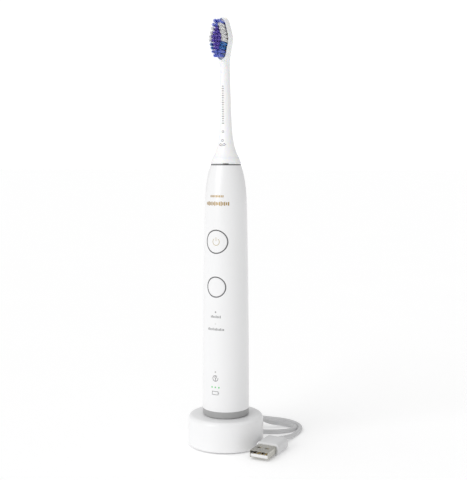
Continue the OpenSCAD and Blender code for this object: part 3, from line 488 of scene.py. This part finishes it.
def shoulder_curve(a, b, c, d, t):
    """A cubic curve from a to d, at the share t of its way."""
    return a * (1 - t) ** 3 + 3 * b * t * (1 - t) ** 2 + 3 * c * t * t * (1 - t) + d * t ** 3


handle_side = []
for step in range(side_steps):
    up = step / side_steps
    handle_side.append((foot_r - (foot_r - shoulder_r) * up ** side_bow,
                        seam_z + (shoulder_z - seam_z) * up))
for step in range(shoulder_steps + 1):
    t = step / shoulder_steps
    handle_side.append((
        shoulder_curve(shoulder_r, shoulder_r - low_handle[0], shoulder_r - high_handle[0], top_r, t),
        shoulder_curve(shoulder_z, shoulder_z + low_handle[1], shoulder_z + high_handle[1], handle_top, t)))


def along(table, place, column):
    """Reads a table of rows by their last number, with straight lines between the rows."""
    for low, high in zip(table, table[1:]):
        if place <= high[-1]:
            share = max(0, (place - low[-1]) / (high[-1] - low[-1]))
            return low[column] + (high[column] - low[column]) * share
    return table[-1][column]


def handle_r(z):
    """The handle's radius at a height."""
    return along(handle_side, z, 0)


seal_r = 4.6
inner_top = handle_top - 3
inner_side = [(r - handle_wall, z) for r, z in reversed(handle_side) if z < inner_top]
handle_outline = (handle_side + [(seal_r, handle_top), (seal_r, inner_top)]
                  + [(handle_r(inner_top) - handle_wall, inner_top)] + inner_side + [handle_side[0]])
handle_shape = turned(handle_outline, steps=192)
handle_tube = finished("handle_tube", handle_shape, gloss_white, "handle", ["handle_shell"])

power_z, power_r = 129.6, 7.45
mode_z, mode_r = 101.7, 6.55
guide_r = 0.55
drill_len, drill_middle_y = 16, -12
guide_places = [(0, 78.9), (0, 86.2), (0, 48.8), (-2.35, 39.2), (0, 39.2), (2.35, 39.2)]


def drilled(piece, x, z, radius, steps):
    """Cuts a round hole from the front through the piece's wall."""
    drill = bmesh.new()
    bmesh.ops.create_cone(drill, cap_ends=True, segments=steps, radius1=radius * mm, radius2=radius * mm,
                          depth=drill_len * mm,
                          matrix=Matrix.Translation((x * mm, drill_middle_y * mm, z * mm))
                          @ Matrix.Rotation(math.pi / 2, 4, "X"))
    drill_mesh = bpy.data.meshes.new("drill")
    drill.to_mesh(drill_mesh)
    drill.free()
    tool = bpy.data.objects.new("drill", drill_mesh)
    bpy.context.scene.collection.objects.link(tool)
    hole = piece.modifiers.new("hole", "BOOLEAN")
    hole.operation = "DIFFERENCE"
    hole.solver = "EXACT"
    hole.object = tool
    bpy.context.view_layer.update()
    cut = bpy.data.meshes.new_from_object(piece.evaluated_get(bpy.context.evaluated_depsgraph_get()))
    piece.modifiers.clear()
    piece.data = cut
    bpy.data.objects.remove(tool)


drilled(handle_tube, 0, power_z, power_r, 96)
drilled(handle_tube, 0, mode_z, mode_r, 96)
for guide_x, guide_z in guide_places:
    drilled(handle_tube, guide_x, guide_z, guide_r, 24)
handle_tube.data.shade_smooth()
handle_tube.data.set_sharp_from_angle(angle=math.radians(35))


# ---------- Seams of the handle ----------
# A satin grey cap with a sealing ring closes the foot, and a thin dark ring and a rubber seal
# close the top round the shaft.
cap_grey = grained("cap_grey", (0.36, 0.36, 0.36), 0.42, spread=0.02, scale=60, grain=1500, depth=0.06)
joint_grey = grained("joint_grey", (0.1, 0.1, 0.105), 0.45, spread=0.04, scale=90, grain=1500, depth=0.06)
seal_rubber = grained("seal_rubber", (0.05, 0.05, 0.052), 0.7, spread=0.08, scale=200, grain=1800, depth=0.2)
finish_node(cap_grey, "bottom_cap")
finish_node(joint_grey, "joint_ring")
finish_node(seal_rubber, "shaft_seal", "cap_seal")


# ---------- Buttons ----------
# Two round white buttons lie flush in the handle, each in a thin grey ring. The stem behind each
# one rests on the plunger of a push switch. The upper one has a power sign printed on it.
button_white = grained("button_white", (0.83, 0.83, 0.835), 0.38, spread=0.008, scale=50, grain=1800,
                       depth=0.05)
ring_grey = grained("ring_grey", (0.13, 0.13, 0.135), 0.4, spread=0.03, scale=90, grain=1500, depth=0.05)
plunger_grey = grained("plunger_grey", (0.5, 0.5, 0.52), 0.5, spread=0.03, scale=90, grain=1200, depth=0.06)
finish_node(button_white, "power_button", "mode_button")
finish_node(ring_grey, "power_ring", "mode_ring")
finish_node(plunger_grey, "power_plunger", "mode_plunger")
ink_depth = 0.025
ink_sink = 0.02   # how far a print's underside lies in the surface, so that no gap is left
bar_step = 0.4    # longest part of a bar between two points, so that it follows a curved front
ring_steps = 48


def flat_bar(shape, x, z, width, height, turn=0):
    """A thin printed bar in the XZ plane, turned so many degrees."""
    bar = bmesh.ops.create_grid(shape, x_segments=max(2, int(width / bar_step)), y_segments=1,
                                size=0.5)["verts"]
    bmesh.ops.scale(shape, verts=bar, vec=(width * mm, height * mm, 1))
    bmesh.ops.rotate(shape, verts=bar, cent=(0, 0, 0), matrix=Matrix.Rotation(math.pi / 2, 3, "X"))
    bmesh.ops.rotate(shape, verts=bar, cent=(0, 0, 0), matrix=Matrix.Rotation(math.radians(turn), 3, "Y"))
    bmesh.ops.translate(shape, verts=bar, vec=(x * mm, 0, z * mm))


def flat_ring(shape, x, z, radius, line, gap_from=0, gap_to=0):
    """A thin printed ring in the XZ plane, open between two angles from the top."""
    rims = []
    for r in (radius - line / 2, radius + line / 2):
        rim = bmesh.ops.create_circle(shape, cap_ends=False, segments=ring_steps, radius=r * mm,
                                      matrix=Matrix.Translation((x * mm, 0, z * mm))
                                      @ Matrix.Rotation(math.pi / 2, 4, "X"))["verts"]
        rims += list({e for v in rim for e in v.link_edges})
    band = bmesh.ops.bridge_loops(shape, edges=rims)["faces"]
    if gap_to > gap_from:
        def from_top(face):
            middle = face.calc_center_median()
            return math.degrees(math.atan2(middle.x - x * mm, middle.z - z * mm))
        hidden = [f for f in band if gap_from < from_top(f) < gap_to]
        bmesh.ops.delete(shape, geom=hidden, context="FACES")


def flat_frame(shape, x, z, width, height, line):
    """A thin printed outline of a rectangle."""
    for s in (-1, 1):
        flat_bar(shape, x, z + s * (height - line) / 2, width, line)
        flat_bar(shape, x + s * (width - line) / 2, z, line, height - 2 * line)


def handle_front(x, z):
    """Where the handle's front is, in Y."""
    return -math.sqrt(max(0, handle_r(z) ** 2 - x * x))


def printed(name, shape, ink, body, front):
    """Lays a flat print on a curved front and gives it the thickness of its ink."""
    for point in shape.verts:
        point.co.y += front(point.co.x / mm, point.co.z / mm) * mm + ink_sink * mm
    bmesh.ops.recalc_face_normals(shape, faces=shape.faces)
    raised = bmesh.ops.extrude_face_region(shape, geom=shape.faces[:])["geom"]
    bmesh.ops.translate(shape, verts=[g for g in raised if isinstance(g, bmesh.types.BMVert)],
                        vec=(0, -(ink_sink + ink_depth) * mm, 0))
    bmesh.ops.recalc_face_normals(shape, faces=shape.faces)
    return finished(name, shape, ink, body)


sand_ink = grained("sand_ink", (0.56, 0.49, 0.33), 0.5, spread=0.05, scale=300, grain=1500, depth=0.05)
grey_ink = grained("grey_ink", (0.17, 0.17, 0.175), 0.5, spread=0.05, scale=300, grain=1500, depth=0.05)
pale_ink = grained("pale_ink", (0.28, 0.28, 0.285), 0.5, spread=0.05, scale=300, grain=1500, depth=0.05)
gilt_ink = grained("gilt_ink", (0.42, 0.27, 0.08), 0.36, spread=0.06, scale=300, grain=1500,
                   depth=0.05, metal=0.5)

power_sign = bmesh.new()
flat_ring(power_sign, 0, power_z, 2.2, 0.42, -34, 34)
flat_bar(power_sign, 0, power_z + 1.6, 0.42, 2.3)
printed("power_sign", power_sign, sand_ink, "power_button", handle_front)


# ---------- Prints on the handle ----------
# Thin pad printing: a gilt sound wave over the buttons, plain tick rows for the two modes, a ring
# sign for a worn brush head and the outline of a battery.
wave_mark = bmesh.new()
wave_z, wave_w = 152.9, 14.6
wave_heights = [1.6, 2.2, 2.6, 1.8, 2.4, 1.7, 2.6, 2, 1.6, 2.3, 2.7, 1.9, 2.4, 1.8, 2.2]
small_z, small_w, small_count = 157.4, 8.2, 9


def spaced(width, count):
    """The places of evenly spaced marks over a width."""
    return [-width / 2 + width * number / (count - 1) for number in range(count)]


for x, height in zip(spaced(wave_w, len(wave_heights)), wave_heights):
    flat_bar(wave_mark, x, wave_z, 0.66, height)
for x in spaced(small_w, small_count):
    flat_bar(wave_mark, x, small_z, 0.62, 1.3)
printed("wave_mark", wave_mark, gilt_ink, "handle", handle_front)


def tick_row(shape, z, width, count, height, line):
    """A row of ticks of which every third one is a little taller."""
    for number, x in enumerate(spaced(width, count)):
        rise = 0.35 if number % 3 == 1 else 0
        flat_bar(shape, x, z + rise / 2, line, height + rise)


mode_marks = bmesh.new()
tick_row(mode_marks, 83.2, 6.2, 8, 1.2, 0.44)
tick_row(mode_marks, 75.4, 10.3, 13, 1.2, 0.44)
printed("mode_marks", mode_marks, grey_ink, "handle", handle_front)

reminder_sign = bmesh.new()
reminder_z = 44.8
flat_ring(reminder_sign, 0, reminder_z, 1.75, 0.34, 35, 75)
flat_ring(reminder_sign, 0.15, reminder_z + 0.7, 0.55, 0.3)
flat_bar(reminder_sign, 0.1, reminder_z - 0.8, 0.36, 1.5, 8)
printed("reminder_sign", reminder_sign, grey_ink, "handle", handle_front)

battery_sign = bmesh.new()
battery_z = 35.6
flat_frame(battery_sign, -0.15, battery_z, 4.4, 2.4, 0.36)
flat_bar(battery_sign, 2.3, battery_z, 0.3, 1)
printed("battery_sign", battery_sign, pale_ink, "handle", handle_front)


# ---------- Lamps ----------
# Clear moulded rods carry the light of small lamps to the handle's face. The three battery lamps
# are lit green; the green of their rods is painted lamp light, given as the rods' own colour. The
# ones for a worn head and for the two modes are off and grey.
light_rod = bpy.data.materials.new("light_rod")
light_rod.use_nodes = True
rod_nodes, rod_links = light_rod.node_tree.nodes, light_rod.node_tree.links
rod_shader = rod_nodes["Principled BSDF"]
rod_shader.inputs["Roughness"].default_value = 0.2
rod_place = rod_nodes.new("ShaderNodeTexCoord")
rod_split = rod_nodes.new("ShaderNodeSeparateXYZ")
rod_range = rod_nodes.new("ShaderNodeMapRange")
rod_range.inputs["From Max"].default_value = 100 * mm
rod_tone = rod_nodes.new("ShaderNodeValToRGB")
rod_tone.color_ramp.interpolation = "CONSTANT"
battery_rods_painted_glow, reminder_rod = rod_tone.color_ramp.elements
# painted lamp light: the glow of the three lit battery lamps, given as the green colour of their rods
battery_rods_painted_glow.color = (0.2, 0.62, 0.25, 1)
reminder_rod.position = 0.43
reminder_rod.color = (0.5, 0.5, 0.48, 1)
low_mode_rod = rod_tone.color_ramp.elements.new(0.7)
low_mode_rod.color = (0.74, 0.74, 0.73, 1)
high_mode_rod = rod_tone.color_ramp.elements.new(0.83)
high_mode_rod.color = (0.36, 0.36, 0.36, 1)
rod_links.new(rod_place.outputs["Object"], rod_split.inputs["Vector"])
rod_links.new(rod_split.outputs["Z"], rod_range.inputs["Value"])
rod_links.new(rod_range.outputs["Result"], rod_tone.inputs["Fac"])
rod_links.new(rod_tone.outputs["Color"], rod_shader.inputs["Base Color"])
lamp_green = grained("lamp_green", (0.3, 0.75, 0.35), 0.25, spread=0.05, scale=200, grain=900)
finish_node(light_rod, "light_guides")
finish_node(lamp_green, "lamps")


# ---------- Inside the handle ----------
# A glass-filled frame carries the cell behind and the long board in front. Above the cell are the
# drive's laminated core and its winding, and round the recess below is the receiving winding.
frame_grey = grained("frame_grey", (0.42, 0.42, 0.43), 0.6, spread=0.06, scale=120, grain=1100, depth=0.2)
finish_node(frame_grey, "inner_frame")
core_steel = lined("core_steel", (0.4, 0.41, 0.43), 0.45, 400)
ground_steel = grained("ground_steel", (0.6, 0.6, 0.61), 0.25, spread=0.04, scale=200, grain=1800,
                       depth=0.05, metal=1)
bearing_brass = grained("bearing_brass", (0.72, 0.52, 0.22), 0.3, spread=0.05, scale=200, grain=1500,
                        depth=0.05, metal=1)
cell_sleeve = grained("cell_sleeve", (0.07, 0.2, 0.42), 0.3, spread=0.04, scale=60, grain=600, depth=0.06)
nickel_strip = grained("nickel_strip", (0.66, 0.64, 0.58), 0.3, spread=0.04, scale=200, grain=1200,
                       depth=0.06, metal=1)
finish_node(core_steel, "stator_core")
finish_node(copper_wire, "drive_coil", "receiver_coil")
finish_node(ground_steel, "torsion_bar", "frame_screws", "drive_shaft", "shaft_clip")
finish_node(bearing_brass, "upper_bush", "lower_bush")
finish_node(cell_sleeve, "cell")
finish_node(nickel_strip, "cell_tabs")
finish_node(board_green, "handle_board")
finish_node(chip_epoxy, "board_chips", "switch_bodies")


# ---------- Rotor ----------
# A moulded carrier on the shaft's lower end, with a plated magnet on each side. It swings between
# the two poles of the laminated core.
rotor_grey = grained("rotor_grey", (0.2, 0.2, 0.21), 0.55, spread=0.06, scale=120, grain=1100, depth=0.15)
magnet_plate = grained("magnet_plate", (0.6, 0.62, 0.66), 0.15, spread=0.02, scale=120, grain=900, metal=1)
finish_node(rotor_grey, "rotor")
finish_node(magnet_plate, "rotor_magnets")


# ---------- Brush head ----------
# One hollow white moulding: a flare that closes on the handle, a slim neck that leans a little to
# the front, and a spade-shaped top with a flat face for the bristles and a rounded back.
head_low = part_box("head_shell")[0].z / mm
head_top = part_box("head_shell")[1].z / mm
face_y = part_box("bristle_plate")[0].y / mm
back_y = face_y + 5
bore_r = 2.9
bore_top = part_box("shaft_socket")[1].z / mm + 0.3

# radius, middle in Y, height above the head's foot
neck_sizes = [
    (8.15, 0, 0), (7.0, 0, 2.2), (6.0, 0, 4.8), (5.3, 0, 7.3), (4.75, 0, 9.8), (4.3, -0.02, 12.6),
    (4.05, -0.05, 15), (3.85, -0.15, 18), (3.7, -0.3, 21.5), (3.5, -0.55, 28), (3.3, -0.95, 39),
    (3.12, -1.3, 49), (3.04, -1.55, 56),
]
neck_sizes = [(radius, middle, head_low + up) for radius, middle, up in neck_sizes]
# half width, front from the face, back from its plane, squareness of the front, depth below the top
head_sizes = [
    (3.2, -0.45, 0.5, 2.2, 27), (3.6, -0.1, 0.35, 2.6, 24.8), (4.15, 0.2, 0.2, 3.2, 22),
    (4.75, 0.2, 0.1, 3.8, 19), (5.35, 0.2, 0, 4.2, 16.2), (5.7, 0.2, 0, 4.2, 14.2),
    (5.7, 0.2, 0, 4.2, 12.6), (5.25, 0.2, -0.05, 4.2, 10.2), (4.65, 0.2, -0.2, 4.2, 7.8),
    (4.05, 0.2, -0.5, 4.2, 5.4), (3.5, 0.2, -0.85, 4, 3.4), (2.9, 0.25, -1.25, 3.6, 2),
    (2.2, 0.35, -1.7, 3.2, 1), (1.3, 0.8, -2.4, 3, 0.25),
]
head_sizes = [(half_width, face_y + front, back_y + back, squareness, head_top - down)
              for half_width, front, back, squareness, down in head_sizes]


def divided(rows, parts):
    """Adds evenly spaced rows between the rows of a table."""
    finer = []
    for low, high in zip(rows, rows[1:]):
        finer += [tuple(a + (b - a) * part / parts for a, b in zip(low, high)) for part in range(parts)]
    return finer + [rows[-1]]


def smoothed(rows, times):
    """Rounds a table of sizes off, keeping its first and last rows."""
    for _ in range(times):
        inner = [tuple((a + 2 * b + c) / 4 for a, b, c in zip(*three))
                 for three in zip(rows, rows[1:], rows[2:])]
        rows = [rows[0]] + inner + [rows[-1]]
    return rows


outlines = [(r, y - r, y + r, 2, z) for r, y, z in neck_sizes] + head_sizes
outlines = smoothed(divided(outlines, 3), 3)
head_white = grained("head_white", (0.91, 0.91, 0.915), 0.32, spread=0.006, scale=50, grain=1500,
                     depth=0.03, coat=0.2, subsurface=0.25, rough_spread=0.03)
section_points = 72
head_shape = bmesh.new()


def section(shape, half_width, front, back, squareness, z):
    """One level outline: an ellipse that is squarer in front, so that its face is flat."""
    rim = bmesh.ops.create_circle(shape, cap_ends=False, segments=section_points, radius=1)["verts"]
    middle = front + (back - front) * (0.5 - 0.04 * (squareness - 2))
    for point in rim:
        across, along_y = point.co.x, point.co.y
        power = 2 / squareness if along_y < 0 else 1
        across = math.copysign(abs(across) ** power, across)
        along_y = math.copysign(abs(along_y) ** power, along_y)
        reach = middle - front if along_y < 0 else back - middle
        point.co = Vector((across * half_width, middle + along_y * reach, z)) * mm
    return list({e for v in rim for e in v.link_edges})


rims = [section(head_shape, bore_r, -bore_r, bore_r, 2, bore_top),
        section(head_shape, bore_r, -bore_r, bore_r, 2, head_low)]
for half_width, front, back, squareness, z in outlines:
    rims.append(section(head_shape, half_width, front, back, squareness, z))
for low_rim, high_rim in zip(rims, rims[1:]):
    bmesh.ops.bridge_loops(head_shape, edges=low_rim + high_rim)
bmesh.ops.holes_fill(head_shape, edges=[e for e in head_shape.edges if e.is_boundary], sides=0)
bmesh.ops.recalc_face_normals(head_shape, faces=head_shape.faces)
finished("head_body", head_shape, head_white, "brush_head", ["head_shell"], sharp=50)

# thin grey marks down the neck's front: a scale of ticks, a ring and a wireless sign
neck_smooth = smoothed(divided(neck_sizes, 3), 4)


def neck_front(x, z):
    """Where the neck's front is, in Y."""
    radius = along([(r, h) for r, _, h in neck_smooth], z, 0)
    middle = along([(y, h) for _, y, h in neck_smooth], z, 0)
    return middle - math.sqrt(max(0, radius ** 2 - x * x))


neck_marks = bmesh.new()
scale_z, scale_gap, scale_count = 202, 1.4, 17
scale_widths = (1.3, 0.9, 1.1)
for number in range(scale_count):
    flat_bar(neck_marks, 0, scale_z + number * scale_gap, scale_widths[number % len(scale_widths)], 0.5)
ring_z, wireless_z = 196.8, 191.4
flat_ring(neck_marks, 0, ring_z, 0.6, 0.28)
flat_ring(neck_marks, 0, wireless_z, 0.65, 0.3)
flat_ring(neck_marks, 0, wireless_z, 2.3, 0.34, -132, 132)
flat_ring(neck_marks, 0, wireless_z, 3.3, 0.34, -136, 136)
printed("neck_marks", neck_marks, grey_ink, "brush_head", neck_front)

soft_white = grained("soft_white", (0.9, 0.9, 0.905), 0.5, spread=0.01, scale=80, grain=1200, depth=0.08,
                     subsurface=0.2)
socket_white = grained("socket_white", (0.72, 0.72, 0.71), 0.5, spread=0.03, scale=90, grain=1200,
                       depth=0.08)
finish_node(head_white, "head_base_ring", "bristle_plate")
finish_node(socket_white, "shaft_socket")
finish_node(copper_wire, "head_tag")

# A low soft wall stands round the bristle field. It is thicker at its foot, with a rounded edge.
field_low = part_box("soft_rim")[0].z / mm
field_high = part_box("soft_rim")[1].z / mm
rim_h = 2.6
rim_gap = 0.15     # from the head's edge to the foot of the wall
rim_steps_round = 96


def head_half_width(z):
    """Half the head's width at a height."""
    return along([(row[0], row[4]) for row in outlines], z, 0)


def field_outline(inset):
    """Points round the bristle field, a set distance inside the head's edge."""
    low, high = field_low + inset, field_high - 0.3 - inset
    middle, half = (low + high) / 2, (high - low) / 2
    places = []
    for number in range(rim_steps_round):
        angle = math.tau * number / rim_steps_round
        z = middle - half * math.cos(angle)
        soft = min(1, math.sqrt(max(0, high - z) / 1.6), math.sqrt(max(0, z - low) / 2.2))
        half_width = max(0, head_half_width(z) - rim_gap - inset) * soft
        places.append((half_width * (1 if math.sin(angle) >= 0 else -1), z))
    return places


rim_shape = bmesh.new()
# the wall's section: inset from its foot's edge, and how far it stands out of the face
rim_section = [(0, 0.25), (0.05, -0.6), (0.16, -1.6), (0.3, 0.25 - rim_h), (0.42, 0.04 - rim_h),
               (0.58, -rim_h), (0.74, 0.04 - rim_h), (0.84, 0.25 - rim_h), (0.92, -1.6), (1, -0.6),
               (1.05, 0.25)]
rim_loops = []
for inset, out in rim_section:
    loop = bmesh.ops.create_circle(rim_shape, cap_ends=False, segments=rim_steps_round, radius=1)["verts"]
    for point, (x, z) in zip(loop, field_outline(inset)):
        point.co = Vector((x, face_y + out, z)) * mm
    rim_loops.append(list({e for v in loop for e in v.link_edges}))
for near_loop, next_loop in zip(rim_loops, rim_loops[1:] + rim_loops[:1]):
    bmesh.ops.bridge_loops(rim_shape, edges=near_loop + next_loop)
bmesh.ops.recalc_face_normals(rim_shape, faces=rim_shape.faces)
finished("soft_wall", rim_shape, soft_white, "brush_head", ["soft_rim"], sharp=60)


# ---------- Bristles ----------
# Dyed nylon filaments, 46 to a tuft. The tufts stand in rows, set in the plate of the head, and
# lean and spread out a little toward their tips.
random.seed(7)


def nylon(name, low_tone, high_tone):
    """Dyed nylon filament: tone changes from one filament to the next."""
    material = bpy.data.materials.new(name)
    material.use_nodes = True
    nodes, links = material.node_tree.nodes, material.node_tree.links
    shader = nodes["Principled BSDF"]
    shader.inputs["Roughness"].default_value = 0.32
    shader.inputs["Subsurface Weight"].default_value = 0.35
    shader.inputs["Subsurface Radius"].default_value = (0.001, 0.001, 0.001)
    place = nodes.new("ShaderNodeTexCoord")
    stretch = nodes.new("ShaderNodeMapping")
    stretch.inputs["Scale"].default_value = (1, 0.04, 1)
    strands = nodes.new("ShaderNodeTexNoise")
    strands.inputs["Scale"].default_value = 2600
    strands.inputs["Detail"].default_value = 2
    tone = nodes.new("ShaderNodeValToRGB")
    tone.color_ramp.elements[0].position = 0.35
    tone.color_ramp.elements[0].color = list(low_tone) + [1]
    tone.color_ramp.elements[1].position = 0.65
    tone.color_ramp.elements[1].color = list(high_tone) + [1]
    links.new(place.outputs["Object"], stretch.inputs["Vector"])
    links.new(stretch.outputs["Vector"], strands.inputs["Vector"])
    links.new(strands.outputs["Fac"], tone.inputs["Fac"])
    links.new(tone.outputs["Color"], shader.inputs["Base Color"])
    return material


nylon_white = nylon("nylon_white", (0.94, 0.94, 0.94), (1, 1, 0.995))
nylon_blue = nylon("nylon_blue", (0.13, 0.18, 0.7), (0.32, 0.4, 0.95))
nylon_purple = nylon("nylon_purple", (0.15, 0.08, 0.58), (0.4, 0.3, 0.9))
nylon_teal = nylon("nylon_teal", (0.02, 0.15, 0.5), (0.07, 0.33, 0.78))

tuft_rows = [
    (0.27, "bb"), (0.51, "bbw"), (0.67, "wpw"), (0.81, "wppw"), (0.97, "wpppw"),
    (1.0, "wpppw"), (0.83, "tppt"), (0.69, "tppt"), (0.53, "bbb"), (0.27, "bb"),
]
row_reach = 3.5
row_gap = 2.15
first_row_z = head_top - 4.1
bristle_len = 9.6
tuft_r = 0.775
filament_r = 0.1
tip_share = 0.75                       # a tip's radius as a share of the filament's
filaments_per_tuft = 46
golden_turn = 2.39996                  # radians from one filament to the next
side_lean, end_lean = 0.085, 0.07      # how much the outermost tufts lean out
fan = 0.042                            # how much a tuft's outer filaments lean away from its middle
stray = 0.018                          # how much a filament strays from its way
half_field = (len(tuft_rows) - 1) / 2 * row_gap


def tuft(shape, x, z):
    """One tuft: filaments packed in a round hole, leaning out a little toward their tips."""
    lean_x = side_lean * x / row_reach
    lean_z = end_lean * (z - first_row_z + half_field) / half_field
    for number in range(filaments_per_tuft):
        reach = math.sqrt((number + 0.5) / filaments_per_tuft)
        angle = number * golden_turn + random.uniform(-0.2, 0.2)
        from_x, from_z = math.cos(angle) * reach, math.sin(angle) * reach
        foot = Vector((x + from_x * (tuft_r - 0.08), face_y - 0.02, z + from_z * (tuft_r - 0.08)))
        length = bristle_len - 0.1 - 0.35 * reach * reach - random.uniform(0, 0.22)
        way = Vector((lean_x + from_x * fan + random.uniform(-stray, stray), -1,
                      lean_z + from_z * fan + random.uniform(-stray, stray))).normalized()
        turn = way.to_track_quat("Z", "X").to_matrix().to_4x4()
        middle = foot + way * length / 2
        bmesh.ops.create_cone(shape, cap_ends=True, segments=5, radius1=filament_r * mm,
                              radius2=filament_r * tip_share * mm, depth=length * mm,
                              matrix=Matrix.Translation(middle * mm) @ turn)


dyes = {"w": ("white", nylon_white), "b": ("blue", nylon_blue), "p": ("purple", nylon_purple),
        "t": ("teal", nylon_teal)}
for letter, (word, dye) in dyes.items():
    brush = bmesh.new()
    for row, (share, letters) in enumerate(tuft_rows):
        for place, tuft_dye in enumerate(letters):
            if tuft_dye == letter:
                across = share * row_reach * (2 * place / (len(letters) - 1) - 1)
                tuft(brush, across, first_row_z - row * row_gap)
    finished(word + "_bristles", brush, dye, "brush_head", [word + "_tufts"])


# ---------- Floor and light ----------
# A plain white table top that glows a little, as in a light tent. A broad soft light comes from
# the left in front, a weaker one from above, and an even white room fills the rest.
floor_shape = bmesh.new()
bmesh.ops.create_grid(floor_shape, x_segments=1, y_segments=1, size=30)
floor_mesh = bpy.data.meshes.new("floor")
floor_shape.to_mesh(floor_mesh)
floor_shape.free()
floor = bpy.data.objects.new("floor", floor_mesh)
bpy.context.scene.collection.objects.link(floor)
floor_white = grained("floor_white", (0.94, 0.94, 0.94), 0.9, spread=0.004, scale=8, grain=200, depth=0.01)
floor_glow = floor_white.node_tree.nodes["Principled BSDF"]
floor_glow.inputs["Emission Color"].default_value = (1, 1, 1, 1)
floor_glow.inputs["Emission Strength"].default_value = 0.165
floor_glow.inputs["Specular IOR Level"].default_value = 0
floor_mesh.materials.append(floor_white)

world = bpy.data.worlds.new("room")
bpy.context.scene.world = world
world.use_nodes = True
room = world.node_tree.nodes["Background"]
room.inputs["Color"].default_value = (1, 1, 1, 1)
room.inputs["Strength"].default_value = 0.61
seen = world.node_tree.nodes.new("ShaderNodeBackground")
seen.inputs["Color"].default_value = (1, 1, 1, 1)
seen.inputs["Strength"].default_value = 1.1
looked_at = world.node_tree.nodes.new("ShaderNodeLightPath")
either = world.node_tree.nodes.new("ShaderNodeMixShader")
room_links = world.node_tree.links
room_links.new(looked_at.outputs["Is Camera Ray"], either.inputs["Fac"])
room_links.new(room.outputs["Background"], either.inputs[1])
room_links.new(seen.outputs["Background"], either.inputs[2])
room_links.new(either.outputs["Shader"], world.node_tree.nodes["World Output"].inputs["Surface"])


def far_light(name, from_left, height, spread, strength):
    """A far, broad light: degrees to the left of the front, degrees up, and its width in degrees."""
    light = bpy.data.lights.new(name, "SUN")
    light.angle = math.radians(spread)
    light.energy = strength
    lamp = bpy.data.objects.new(name, light)
    bpy.context.scene.collection.objects.link(lamp)
    lamp.rotation_euler = (math.radians(90 - height), 0, math.radians(-from_left))


far_light("key_light", 20, 22, 42, 1.0)
far_light("top_light", 60, 74, 50, 0.5)
bpy.context.scene.view_settings.view_transform = "Standard"


# ---------- Finish ----------
bpy.context.view_layer.update()
